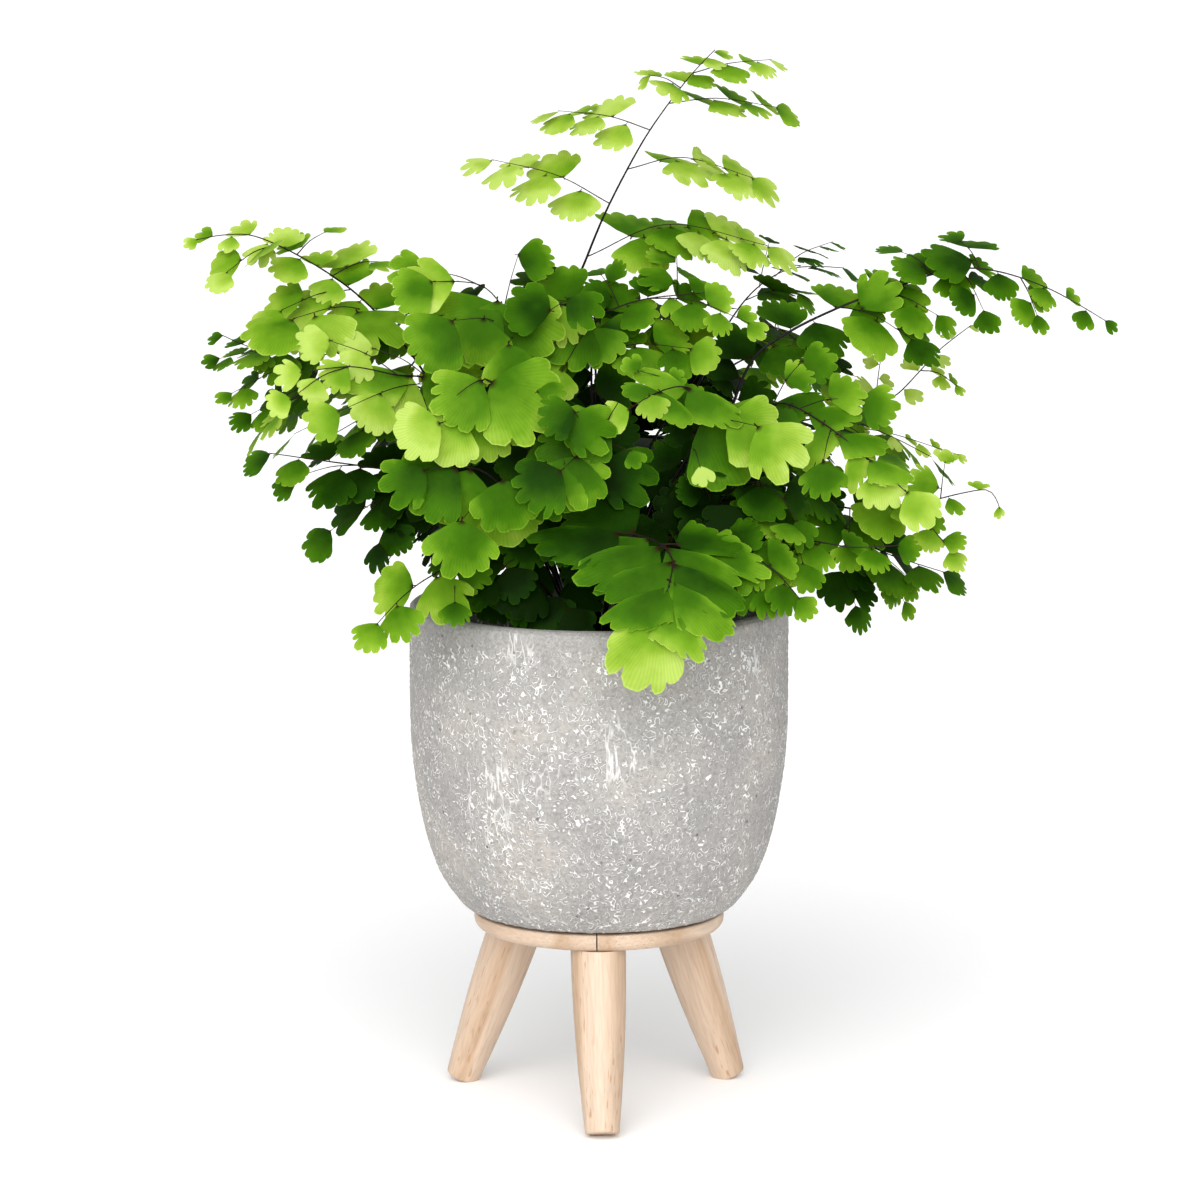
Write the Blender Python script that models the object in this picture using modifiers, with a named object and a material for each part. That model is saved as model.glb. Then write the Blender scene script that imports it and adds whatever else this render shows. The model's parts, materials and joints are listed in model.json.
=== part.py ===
"""Potted maidenhair fern in a cement pot on a three-legged pine stand.

Metres, +Z up. The floor is Z = 0 and the origin lies under the middle of the whole plant.
The pot's axis carries the pot, the soil and the stand, and every frond is laid out from it.
"""
import math
import random

import bmesh
import bpy
from mathutils import Euler, Matrix, Vector
from mathutils.bvhtree import BVHTree
from mathutils.geometry import interpolate_bezier

MM = 0.001
GAP = 0.3                      # between pieces that touch

AXIS_X, AXIS_Y = -23.5, -18.4      # the pot's axis, seen from the middle of the plant

# Pot: outer radius against height, from the rim down to the flat base
POT_OUTSIDE = [(81.3, 222), (82.5, 220.5), (82.5, 180), (82, 163), (80.6, 150), (77.8, 129.5),
               (74.4, 116), (69.3, 102.6), (61.8, 90.5), (51, 86)]
POT_INSIDE = [(75.7, 222), (74.5, 220.5), (74.5, 165), (71, 136), (62, 111), (46, 96.5)]
POT_SIDES = 36

# Soil and the fern's rootstock, which sits in a recess in it
SOIL_TOP = 199
SOIL_EDGE = 197
ROOTSTOCK_RADIUS, ROOTSTOCK_TOP, ROOTSTOCK_FOOT = 30, 205, 192

# Stand: three ring arcs butted over three splayed legs
RING_OUTSIDE, RING_INSIDE = 54.9, 30
RING_TOP = 86 - GAP
RING_THICKNESS = 7.8
RING_ROUNDING = 4.6
JOINT_AZIMUTHS = (29, 149, 269)
LEG_TOP_AZIMUTHS, LEG_FOOT_AZIMUTHS = (31.3, 151.3, 269.4), (32.7, 152.4, 271.2)
LEG_TOP_RADIUS, LEG_FOOT_RADIUS = 12.1, 7.5
LEG_TOP_PLACE, LEG_FOOT_PLACE = 39.5, 68.9
LEG_BULGE = 1.3
FOOT_FACET = 1.0               # how far the foot's low edge is sanded off level

# Countersunk wood screws, two down into each leg
SCREW_PLACE, SCREW_SPREAD = 42.5, 5.5
SCREW_LENGTH, SCREW_SHANK, SCREW_HEAD, SCREW_HEAD_DEPTH = 22, 1.75, 3.5, 2.2
SCREW_SINK = 0.5

# Fronds
STALK_TIP = 0.45               # radius of a stalk where it ends
TWIG_RADIUS = 0.42
LEAFLET_THICKNESS = 0.8
LEAFLET_CROWN = 0.42           # the thickest place, as a share of the length from the base
LAP, LONG_LAP = 0.22, 0.4      # how far leaflets lean to their twig's tip, so that each laps over the next
LEAFLET_ROOT = 1.5             # how far the leaflet at a tip starts back inside its twig
CLEARANCE = 0.5                # kept between fronds
SMALLEST_LEAFLET = 17          # shorter ones are too slight for a solid
LARGE_LEAFLET = 28             # rows of leaflets this large hardly taper
ROOT_RINGS = (6, 12, 18, 24)
ROOT_SPACING = 4.4
FOOT_GAP = 0.8                 # a stalk's foot leans a little, so it starts above the rootstock

# Leaflet outlines for a length of 1: the base, then round the blade. A long one leans to one hand.
FAN = [(0, 0), (0.66, -0.6), (1, 0), (0.66, 0.6)]
LONG = [(0, 0), (0.6, -0.14), (1, 0), (0.45, 0.38)]

# Each frond: name, stalk radius, tone (0 old and dark, 1 young), how far its leaflets turn to the
# front, droop, leaflet kind, leaflets along the stalk's end (count, length, first at this share of the
# stalk), the points the stalk runs through, and its twigs: (share of the stalk, reach, arch, count, length).
FRONDS = [
    ("frond_top", 1.1, 0.55, 0.45, 0.35, "fan", (5, 13, 0.93),
     [(-22, 8, 266), (-25, 14, 317), (-21, 15, 336), (-7, 15, 367), (3, 15, 391), (20, 15, 423),
      (38, 14, 448), (50, 12, 461)],
     [(0.71, (-51, -11, 20), 5, 6, 24), (0.84, (-40, 5, 8), 3, 6, 20), (0.77, (54, -9, -3), 9, 7, 23),
      (0.89, (47, 5, -2), 4, 6, 20), (0.95, (34, -2, 6), 2, 5, 16), (0.92, (-14, -4, 6), 2, 3, 15),
      (0.62, (78, -23, 7), 16, 11, 24)]),
    ("frond_mid_arch", 1.0, 0.35, 0.75, 0.6, "fan", (8, 21, 0.66),
     [(0, -12, 269), (-3, -22, 313), (-2, -28, 346), (6, -28, 353), (22, -30, 358), (49, -34, 361)],
     [(0.73, (-21, -12, 11), 4, 4, 27), (0.65, (42, -23, 6), 5, 5, 21), (0.86, (42, -15, -9), 5, 6, 17),
      (0.75, (-17, -22, -22), 3, 3, 22), (0.79, (-8, 13, 13), 2, 3, 18), (0.92, (0, 22, 15), 2, 4, 20)]),
    ("frond_left_upper", 1.0, 0.6, 0.75, 0.5, "fan", (13, 21, 0.62),
     [(-45, 0, 262), (-69, 6, 310), (-88, 8, 338), (-112, 3, 362), (-148, -4, 382), (-173, -10, 381)],
     [(0.75, (26, 11, 5), 4, 3, 20), (0.82, (12, 10, 9), 2, 2, 16), (0.65, (-34, -32, 1), 5, 4, 30),
      (0.71, (-29, -18, -7), 3, 3, 27), (0.86, (-20, -18, -10), 3, 3, 21)]),
    ("frond_left_small", 0.8, 0.2, 0.6, 0.7, "fan", (7, 17, 0.7),
     [(-52, 18, 273), (-87, 28, 311), (-118, 34, 328), (-145, 36, 327), (-166, 36, 335)],
     [(0.82, (-38, -5, -3), 3, 6, 17), (0.76, (-45, -10, -17), 4, 6, 17), (0.69, (-50, -12, -20), 4, 6, 19)]),
    ("frond_left_bright", 0.9, 0.8, 0.75, 0.55, "fan", (7, 21, 0.66),
     [(-34, -14, 269), (-55, -30, 306), (-66, -38, 323), (-86, -46, 327), (-105, -50, 331), (-126, -54, 329)],
     [(0.68, (-44, -24, -9), 5, 4, 27), (0.79, (-29, 6, 14), 3, 3, 18), (0.9, (-24, -8, -13), 3, 4, 14),
      (0.72, (-24, 7, 12), 3, 3, 17)]),
    ("frond_left_low", 0.9, 0.15, 0.6, 0.6, "fan", (6, 25, 0.6),
     [(-43, -10, 249), (-68, -22, 279), (-90, -28, 284), (-115, -32, 288), (-141, -34, 292)],
     [(0.56, (-45, -8, -22), 4, 3, 27), (0.62, (-15, -11, -30), 4, 3, 21), (0.77, (-26, 0, -5), 2, 2, 20)]),
    ("frond_left_drop", 0.7, 0.85, 0.75, 0.5, "fan", (4, 22, 0.72),
     [(-43, -24, 231), (-58, -50, 246), (-70, -70, 245), (-82, -82, 238), (-93, -88, 227)],
     [(0.61, (1, -27, -11), 2, 2, 18)]),
    ("frond_crown_left", 1.0, 0.6, 0.75, 0.7, "fan", (5, 26, 0.72),
     [(-19, -14, 269), (-29, -34, 315), (-38, -46, 350), (-50, -54, 366), (-70, -60, 368)],
     [(0.76, (-24, -26, 7), 4, 4, 29), (0.71, (21, -19, 24), 5, 4, 29), (0.81, (6, 18, 22), 2, 3, 23),
      (0.74, (-2, -31, 1), 2, 3, 26), (0.89, (-24, 24, 4), 2, 2, 22)]),
    ("frond_front_left", 1.0, 0.7, 0.75, 0.8, "fan", (5, 27, 0.72),
     [(-18, -30, 245), (-27, -58, 288), (-35, -76, 316), (-47, -86, 330), (-59, -92, 324)],
     [(0.65, (16, -28, 16), 4, 3, 34), (0.78, (-31, -18, -3), 4, 4, 29), (0.75, (8, -11, 13), 2, 2, 24)]),
    ("frond_front_low_left", 0.9, 0.8, 0.75, 0.8, "fan", (4, 31, 0.74),
     [(-21, -36, 240), (-33, -66, 272), (-50, -86, 292), (-72, -94, 293)],
     [(0.67, (23, -20, 18), 4, 3, 29), (0.73, (-16, -23, -11), 3, 3, 27), (0.7, (-1, -23, 8), 2, 2, 30)]),
    ("frond_front_centre", 0.9, 0.65, 0.75, 0.8, "fan", (3, 26, 0.78),
     [(0, -38, 246), (0, -66, 285), (2, -84, 308), (8, -92, 321)],
     [(0.72, (-10, -24, 27), 3, 3, 25), (0.8, (13, -21, 2), 3, 3, 26), (0.85, (-17, -17, -11), 2, 2, 24)]),
    ("frond_front_spray", 0.9, 0.95, 0.75, 0.55, "long", (7, 25, 0.72),
     [(18, -28, 254), (39, -52, 296), (43, -62, 318), (34, -70, 325), (21, -80, 322), (12, -86, 317)],
     [(0.67, (24, -24, 4), 4, 5, 30), (0.61, (3, -40, -3), 3, 3, 26), (0.76, (-26, -3, 12), 3, 3, 21)]),
    ("frond_right_spray", 0.9, 0.8, 0.75, 0.6, "fan", (9, 26, 0.56),
     [(27, -16, 264), (55, -34, 302), (73, -44, 314), (85, -50, 313), (104, -58, 301), (130, -62, 279)],
     [(0.61, (5, -27, -5), 2, 3, 21), (0.72, (27, 6, 3), 3, 4, 22), (0.8, (-4, -16, -12), 2, 2, 24),
      (0.66, (13, 14, 17), 3, 4, 17)]),
    ("frond_right_long", 1.1, 0.5, 0.75, 0.4, "fan", (17, 23, 0.44),
     [(40, 2, 267), (58, 5, 308), (70, 8, 331), (103, 12, 349), (131, 14, 359), (154, 14, 366),
      (174, 12, 365), (197, 10, 357), (220, 6, 344)],
     [(0.59, (30, -18, -12), 4, 4, 26), (0.65, (25, -11, -9), 3, 3, 19), (0.73, (-13, 10, 9), 3, 3, 20),
      (0.77, (10, -14, -17), 3, 3, 17), (0.8, (-8, 11, 11), 3, 3, 22), (0.86, (7, -7, -16), 2, 3, 15)]),
    ("frond_right_airy", 0.7, 0.7, 0.6, 0.5, "fan", (6, 11, 0.76),
     [(44, 22, 264), (89, 36, 291), (115, 42, 300), (132, 44, 308), (149, 46, 326), (164, 46, 338)],
     [(0.74, (3, 2, 24), 3, 4, 12), (0.86, (16, -8, -6), 3, 4, 10), (0.6, (64, -10, -10), 6, 9, 11)]),
    ("frond_right_low", 0.8, 0.75, 0.75, 0.6, "fan", (8, 16, 0.5),
     [(54, -8, 256), (74, -12, 266), (100, -18, 267), (121, -22, 265), (143, -24, 270), (166, -26, 275),
      (172, -28, 267)],
     [(0.76, (19, -11, -18), 3, 4, 15), (0.66, (15, -20, 6), 3, 3, 22), (0.6, (-9, -2, 16), 3, 4, 16),
      (0.63, (-1, -24, -12), 2, 3, 22), (0.84, (2, 2, 16), 2, 2, 15)]),
    ("frond_right_dark", 0.9, 0.1, 0.6, 0.5, "fan", (5, 24, 0.68),
     [(53, 10, 241), (84, 18, 251), (110, 24, 246), (130, 26, 238), (152, 26, 231)],
     [(0.64, (13, -11, -31), 4, 4, 22), (0.73, (23, -6, -15), 3, 3, 22), (0.78, (15, 0, -25), 3, 3, 18)]),
    ("frond_right_mid", 0.8, 0.75, 0.75, 0.6, "fan", (7, 21, 0.5),
     [(43, -26, 242), (67, -42, 253), (90, -54, 257), (106, -58, 255), (127, -60, 256)],
     [(0.68, (3, -20, -6), 2, 3, 22), (0.56, (2, -8, 21), 3, 4, 25), (0.63, (4, -17, 12), 2, 3, 22)]),
    ("frond_front_fall", 0.9, 0.9, 0.75, 0.12, "long", (10, 41, 0.79),
     [(3, -46, 230), (5, -66, 251), (13, -80, 263), (24, -90, 262), (30.5, -97, 256), (29, -104, 246),
      (25.5, -110, 234)],
     [(0.67, (-12, -3, 2), 1, 3, 40), (0.74, (20, 3, -4), 2, 3, 34)]),
    ("frond_front_right", 0.9, 0.6, 0.75, 0.35, "fan", (7, 26, 0.55),
     [(39, -44, 234), (49, -66, 252), (61, -80, 256), (74, -88, 249), (84, -90, 238)],
     [(0.72, (10, -15, -14), 2, 3, 24)]),
    ("frond_low_left", 0.7, 0.1, 0.75, 0.7, "fan", (4, 22, 0.7),
     [(-17, -40, 227), (-27, -54, 242), (-36, -60, 250), (-45, -64, 242)],
     [(0.53, (-13, -18, -4), 1, 2, 19), (0.48, (7, -20, -1), 1, 2, 24)]),
    ("frond_low_right", 0.7, 0.3, 0.75, 0.7, "fan", (6, 26, 0.56),
     [(31, -30, 236), (52, -44, 273), (64, -54, 282), (74, -60, 280), (84, -62, 267)],
     [(0.74, (4, -18, -12), 2, 3, 26), (0.6, (-4, -8, 12), 2, 3, 20)]),
    ("frond_back_right", 1.0, 0.15, 0.3, 0.5, "fan", (7, 24, 0.62),
     [(18, 34, 275), (45, 50, 318), (65, 60, 348), (85, 66, 361), (109, 70, 361)],
     [(0.85, (26, 6, 15), 4, 5, 14), (0.77, (24, -10, 5), 3, 4, 23), (0.81, (5, 10, 20), 2, 3, 15)]),
]

# Fronds that arch out evenly round the back and sides: azimuth, reach and height of the arch
BACK_ARCHES = [(8, 150, 300), (25, 115, 338), (42, 148, 322), (60, 120, 290), (75, 140, 342), (92, 110, 350),
               (105, 150, 305), (125, 120, 340), (140, 160, 300), (158, 120, 345), (172, 150, 318)]
# Short fronds low over the rim that close the middle of the plant
LOW_ARCHES = [(20, 80, 262), (70, 78, 255), (95, 62, 246), (120, 80, 262), (170, 84, 258), (215, 74, 262),
              (255, 62, 274), (310, 70, 258)]


def arching_frond(name, azimuth, reach, height, twigs, length, tone):
    """A frond of even growth: it rises, bows over and carries its twigs left and right in turn."""
    angle = math.radians(azimuth)
    out = Vector((math.cos(angle), math.sin(angle), 0))
    side = Vector((-out.y, out.x, 0))
    rise = height - ROOTSTOCK_TOP
    stalk = [out * (12 + reach * along) + Vector((0, 0, ROOTSTOCK_TOP + rise * up))
             for along, up in ((0.14, 0.5), (0.38, 0.92), (0.64, 1.0), (0.9, 0.82))]
    reaches = []
    for count in range(twigs):
        share = 0.48 + 0.44 * count / twigs
        hand = 1 if count % 2 else -1
        span = reach * 0.42 * (1.25 - 0.7 * share)
        bend = side * hand * 0.85 + out * 0.5 - Vector((0, 0, 0.1 + 0.04 * count))
        reaches.append((share, bend * span, 6, 4 if count < 2 else 3, length))
    return (name, 0.9, tone, 0, 0.6, "fan", (5, length, 0.64), stalk, reaches)


def all_fronds():
    """The fronds laid by hand, then the even ones."""
    fronds = list(FRONDS)
    for number, arch in enumerate(BACK_ARCHES, 1):
        fronds.append(arching_frond(f"frond_back_{number:02d}", *arch, 4, 26, 0.3 + 0.1 * (number % 3)))
    for number, arch in enumerate(LOW_ARCHES, 1):
        fronds.append(arching_frond(f"frond_low_{number:02d}", *arch, 3, 22, 0.15))
    return fronds


# ---------------------------------------------------------------- how a frond is laid out

def smooth(points, steps=2):
    """A smooth line through the points."""
    points = [Vector(point) for point in points]
    ends = [points[0] * 2 - points[1], *points, points[-1] * 2 - points[-2]]
    line = []
    for before, start, end, after in zip(ends, ends[1:], ends[2:], ends[3:]):
        bend = (start + (end - before) / 6, end - (after - start) / 6)
        line += interpolate_bezier(start, *bend, end, steps + 1)[:-1]
    return [*line, points[-1]]


def at_share(line, share):
    """The point and the direction at a share of a line's length."""
    steps = [(b - a).length for a, b in zip(line, line[1:])]
    left = share * sum(steps)
    for start, end, step in zip(line, line[1:], steps):
        if left <= step or end is line[-1]:
            return start.lerp(end, min(1, left / step)), (end - start).normalized()
        left -= step


def shifted(line, shift, ease):
    """The line pushed aside by a vector, by an easing of its share."""
    last = len(line) - 1
    return [point + shift * ease(index / last) for index, point in enumerate(line)]


def twig_line(start, reach, arch):
    """A twig that leaves the stalk and bows up a little on its way."""
    reach = Vector(reach)
    return [start + reach * share + Vector((0, 0, 3 * arch * share * (1 - share)))
            for share in (0, 0.45, 1)]


def sleeve(line, radius, sides=5):
    """Corners and faces of an open tube round a line."""
    corners, faces = [], []
    for index, point in enumerate(line):
        along = (line[min(index + 1, len(line) - 1)] - line[max(index - 1, 0)]).normalized()
        across = along.orthogonal().normalized()
        other = along.cross(across)
        for side in range(sides):
            turn = 2 * math.pi * side / sides
            corners.append(point + (across * math.cos(turn) + other * math.sin(turn)) * radius / 0.8)
    for ring in range(len(line) - 1):
        for side in range(sides):
            a, b = ring * sides + side, ring * sides + (side + 1) % sides
            faces += [(a, b, b + sides), (a, b + sides, a + sides)]
    return corners, faces


def outline(kind, hand):
    """The leaflet's corners for a length of 1, anticlockwise from its base."""
    shape = FAN if kind == "fan" else LONG
    if hand > 0:
        return shape
    return [shape[0]] + [(x, -y) for x, y in reversed(shape[1:])]


def plate(leaflet, start, margin):
    """Corners and faces of a flat plate that stands for a leaflet, from a share of its length on."""
    base, axis, normal, length, kind, hand = leaflet
    across = normal.cross(axis)
    half = LEAFLET_THICKNESS / 2 + margin
    rim = [(max(x, start) * length + (margin if x > 0.5 else 0), y * length * (1 + margin / 12))
           for x, y in outline(kind, hand)]
    flat = [base + axis * x + across * y for x, y in rim]
    corners = [point + normal * half for point in flat] + [point - normal * half for point in flat]
    count = len(flat)
    faces = [tuple(range(count)), tuple(range(2 * count - 1, count - 1, -1))]
    for side in range(count):
        after = (side + 1) % count
        faces.append((side, side + count, after + count, after))
    return corners, faces


class Neighbours:
    """What a new stalk, twig or leaflet has to stay clear of."""

    def __init__(self):
        self.trees = []

    def add(self, owner, corners, faces):
        low = Vector([min(corner[axis] for corner in corners) for axis in range(3)])
        high = Vector([max(corner[axis] for corner in corners) for axis in range(3)])
        self.trees.append((owner, low, high, BVHTree.FromPolygons(corners, faces)))

    def touched(self, corners, faces, counts):
        """Whether a shape meets any neighbour whose owner counts."""
        low = Vector([min(corner[axis] for corner in corners) for axis in range(3)])
        high = Vector([max(corner[axis] for corner in corners) for axis in range(3)])
        own = None
        for owner, other_low, other_high, tree in self.trees:
            apart = any(low[axis] > other_high[axis] or high[axis] < other_low[axis] for axis in range(3))
            if apart or not counts(owner):
                continue
            own = own or BVHTree.FromPolygons(corners, faces)
            if own.overlap(tree):
                return True
        return False


def aside():
    """Vectors to push a line aside by, each longer than the last and turned by the golden angle."""
    yield Vector((0, 0, 0))
    for step in range(1, 40):
        turn = step * 2.4
        yield Vector((math.cos(turn), math.sin(turn), 0.4 * math.sin(turn * 2))) * (0.6 * step)


def place_root(roots, points):
    """A free place on the rootstock for a stalk's foot: low fronds start near its edge, steep ones inside."""
    first = Vector(points[0])
    heading = math.atan2(points[1][1], points[1][0])
    steepness = (first.z - ROOTSTOCK_TOP) / math.hypot(first.x, first.y)
    ring = sum(steepness < limit for limit in (2.6, 1.7, 1))
    for step in range(60):
        turn = heading + (step + 1) // 2 * (0.1 if step % 2 else -0.1)
        for near in (ring, min(ring + 1, 3), max(ring - 1, 0)):
            radius = ROOT_RINGS[near]
            root = Vector((math.cos(turn) * radius, math.sin(turn) * radius, ROOTSTOCK_TOP + FOOT_GAP))
            if all((root - other).length > ROOT_SPACING for other in roots):
                roots.append(root)
                return root
    raise ValueError("no room on the rootstock")


def lay_lines(fronds, neighbours):
    """Every frond's stalk and twig lines, each clear of the other fronds."""
    roots, laid = [], {}
    for name, radius, _, _, _, _, _, points, _ in fronds:
        root = place_root(roots, points)
        line = smooth([root, root + Vector((0, 0, 8)), *points])
        for shift in aside():
            stalk = shifted(line, shift, lambda share: math.sin(math.pi * share))
            if not neighbours.touched(*sleeve(stalk, radius + CLEARANCE), lambda owner: True):
                break
        else:
            raise ValueError(f"{name} finds no way out of the crown")
        laid[name] = (stalk, [])
        neighbours.add(name, *sleeve(stalk, radius))
    for name, radius, _, _, _, _, _, _, twigs in fronds:
        stalk, lines = laid[name]
        for share, reach, arch, count, length in twigs:
            line = twig_line(at_share(stalk, share)[0], reach, arch)
            for shift in aside():
                twig = shifted(line, shift, lambda part: math.sin(math.pi / 2 * part))
                room = sleeve(twig, TWIG_RADIUS + CLEARANCE)
                if not neighbours.touched(*room, lambda owner: owner != name):
                    lines.append((twig, count, length))
                    neighbours.add(name, *sleeve(twig, TWIG_RADIUS))
                    break
    return laid


def set_leaflets(line, count, length, first, frond, draw):
    """Leaflets left and right of a line in turn, and one at its tip.

    Each is its base, axis, normal, length, kind and hand.
    """
    _, _, _, face, droop, kind, _, _, _ = frond
    for number in range(count):
        last = number == count - 1
        part = number / (count - 1) if count > 1 else 1
        base, along = at_share(line, first + (1 - first) * part)
        out = Vector((base.x, base.y, 0))
        out = out.normalized() if out.length > 25 else Vector((along.x, along.y, 0.01)).normalized()
        light = Vector((0, -0.85 * face, 0.8)) + out * (0.5 - 0.2 * face)
        normal = (light - along * light.dot(along) * 0.6).normalized()
        side = along.cross(normal).normalized() * (1 if number % 2 else -1)
        swing = math.radians(draw.uniform(10, 45) if kind == "fan" else 6 + 26 * part)
        drop = droop * draw.uniform(0.5, 1.3) * (0.4 if side.z > 0 else 1)
        sway, lap = (0.06 + 0.22 * droop, LAP) if kind == "fan" or last else (0.03, LONG_LAP)
        jitter = Vector([draw.uniform(-sway, sway) for _ in range(3)])
        taper = 0.2 if length > LARGE_LEAFLET else min(0.6, 0.07 * count) if first > 0.3 else 0.35
        size = length * draw.uniform(0.85, 1.15) * (1 - taper * part)
        if last:
            axis = along - Vector((0, 0, 0.3 * drop))
            shape = "fan"
            base = base - along * LEAFLET_ROOT
        else:
            axis = side * math.cos(swing) + along * math.sin(swing) - Vector((0, 0, drop))
            shape = kind
        normal = (normal + along * lap + jitter).normalized()
        axis = (axis - normal * axis.dot(normal)).normalized()
        hand = 1 if normal.cross(axis).dot(along) > 0 else -1
        yield base, axis, normal, size, shape, hand


def fit_leaflet(leaflet, name, neighbours):
    """The leaflet turned or made smaller until it is clear of its neighbours, or None."""
    base, axis, normal, length, kind, hand = leaflet
    across = normal.cross(axis)
    for pitch, roll, scale in ((0, 0, 1), (14, 0, 1), (-14, 0, 1), (0, 20, 1), (0, -20, 1), (28, 10, 0.9),
                               (-28, -10, 0.9), (0, 38, 0.85), (0, -38, 0.85), (40, 0, 0.8), (-40, 0, 0.8)):
        turn = Matrix.Rotation(math.radians(pitch), 3, across) @ Matrix.Rotation(math.radians(roll), 3, axis)
        tried = (base, turn @ axis, turn @ normal, length * scale, kind, hand)
        own = name + " leaflets"
        if neighbours.touched(*plate(tried, 0, CLEARANCE), lambda owner: owner not in (name, own)):
            continue
        if not neighbours.touched(*plate(tried, 0.05, 0.1), lambda owner: owner == own):
            return tried
    return None


def lay_leaflets(fronds, laid, neighbours):
    """Every frond's leaflets, each clear of the other fronds."""
    grown = {}
    for number, frond in enumerate(fronds):
        name, (count, length, first) = frond[0], frond[6]
        draw = random.Random(number)
        stalk, twigs = laid[name]
        grown[name] = []
        for line, many, size, start in [(stalk, count, length, first)] + [(*twig, 0.25) for twig in twigs]:
            for leaflet in set_leaflets(line, many, size, start, frond, draw):
                fitted = fit_leaflet(leaflet, name, neighbours)
                if fitted:
                    grown[name].append(fitted)
                    neighbours.add(name + " leaflets", *plate(fitted, 0.05, 0))
    return grown


# ---------------------------------------------------------------- making the pieces

parts = bpy.data.collections.new("maidenhair_fern")
cutters = bpy.data.collections.new("cutters")


def start_scene():
    for leftover in list(bpy.data.objects):
        bpy.data.objects.remove(leftover, do_unlink=True)
    bpy.context.scene.collection.children.link(parts)
    bpy.context.scene.collection.children.link(cutters)


def plain_material(name, colour, roughness, metallic=0.0):
    material = bpy.data.materials.new(name)
    material.use_nodes = True
    shader = material.node_tree.nodes["Principled BSDF"]
    shader.inputs["Base Color"].default_value = (*colour, 1)
    shader.inputs["Roughness"].default_value = roughness
    shader.inputs["Metallic"].default_value = metallic
    return material


def add_object(name, mesh, material, carrier, collection=parts):
    thing = bpy.data.objects.new(name, mesh)
    if material:
        mesh.materials.clear()
        mesh.materials.append(material)
    thing.parent = carrier
    collection.objects.link(thing)
    return thing


def cutter(name, mesh, carrier):
    thing = add_object(name, mesh, None, carrier, cutters)
    thing.hide_render = True
    thing.display_type = "WIRE"
    return thing


def cut(thing, tool):
    step = thing.modifiers.new(f"cut by {tool.name}", "BOOLEAN")
    step.operation = "DIFFERENCE"
    step.object = tool


def join(thing, other):
    """Grow two bodies together. The exact solver fails on these thin blades, so the manifold one is used."""
    step = thing.modifiers.new(f"joined to {other.name}", "BOOLEAN")
    step.operation = "UNION"
    step.solver = "MANIFOLD"
    step.object = other


def turned(name, profile, sides, material, carrier, collection=parts):
    """A turned piece from a profile of (radius, height) that runs down its outer side."""
    bm = bmesh.new()
    corners = [bm.verts.new((radius * MM, 0, height * MM)) for radius, height in profile]
    for start, end in zip(corners, corners[1:]):
        bm.edges.new((start, end))
    mesh = bpy.data.meshes.new(name)
    bm.to_mesh(mesh)
    bm.free()
    thing = add_object(name, mesh, material, carrier, collection)
    screw = thing.modifiers.new("turn", "SCREW")
    screw.steps = screw.render_steps = sides
    screw.use_merge_vertices = True
    screw.merge_threshold = 0.00001
    screw.use_smooth_shade = True
    return thing


def box_mesh(name, low, high):
    bm = bmesh.new()
    bmesh.ops.create_cube(bm, size=1)
    for vert in bm.verts:
        shares = [vert.co[axis] + 0.5 for axis in range(3)]
        vert.co = Vector([(low[axis] + shares[axis] * (high[axis] - low[axis])) * MM for axis in range(3)])
    mesh = bpy.data.meshes.new(name)
    bm.to_mesh(mesh)
    bm.free()
    return mesh


def make_pot(material, carrier):
    profile = [(0, POT_INSIDE[-1][1]), *reversed(POT_INSIDE), *POT_OUTSIDE, (0, POT_OUTSIDE[-1][1])]
    return turned("pot", profile, POT_SIDES, material, carrier)


def make_soil(material, carrier):
    """The soil fills the pot and has a recess for the rootstock."""
    recess = ROOTSTOCK_RADIUS + GAP
    wall = [(radius - GAP, height) for radius, height in POT_INSIDE if height < SOIL_EDGE]
    profile = [(0, ROOTSTOCK_FOOT - GAP), (recess, ROOTSTOCK_FOOT - GAP), (recess, SOIL_TOP + 1),
               (recess + 12, SOIL_TOP), (wall[0][0] - 6, SOIL_EDGE), (wall[0][0], SOIL_EDGE - 1.5),
               *wall[:-1], (wall[-1][0], wall[-1][1] + GAP), (0, wall[-1][1] + GAP)]
    return turned("soil", profile, POT_SIDES, material, carrier)


def make_rootstock(material, carrier):
    """The knot of creeping stem that every stalk rises from."""
    edge = 2.5
    profile = [(0, ROOTSTOCK_TOP), (ROOTSTOCK_RADIUS - edge, ROOTSTOCK_TOP),
               (ROOTSTOCK_RADIUS, ROOTSTOCK_TOP - edge), (ROOTSTOCK_RADIUS, ROOTSTOCK_FOOT),
               (0, ROOTSTOCK_FOOT)]
    return turned("rootstock", profile, 24, material, carrier)


def on_circle(azimuth, radius):
    """The point at an azimuth in degrees on a circle round the axis."""
    angle = math.radians(azimuth)
    return Vector((math.cos(angle) * radius, math.sin(angle) * radius, 0))


def screw_places(azimuth):
    """Where two screws stand beside the joint over a leg."""
    place, spread = on_circle(azimuth, SCREW_PLACE), on_circle(azimuth + 90, SCREW_SPREAD)
    return [place - spread, place + spread]


def screw_profile(extra):
    """Countersunk head, shank and point; extra widens it all round into the hole that takes it."""
    head, shank = SCREW_HEAD + extra, SCREW_SHANK + extra
    top = RING_TOP - SCREW_SINK if not extra else RING_TOP + 1
    under = RING_TOP - SCREW_SINK - SCREW_HEAD_DEPTH - extra
    rim = RING_TOP - SCREW_SINK - 0.6
    tip = RING_TOP - SCREW_SINK - SCREW_LENGTH - extra
    return [(0, top), (head, top), (head, rim), (shank, under), (shank, tip + 4), (0, tip)]


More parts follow.
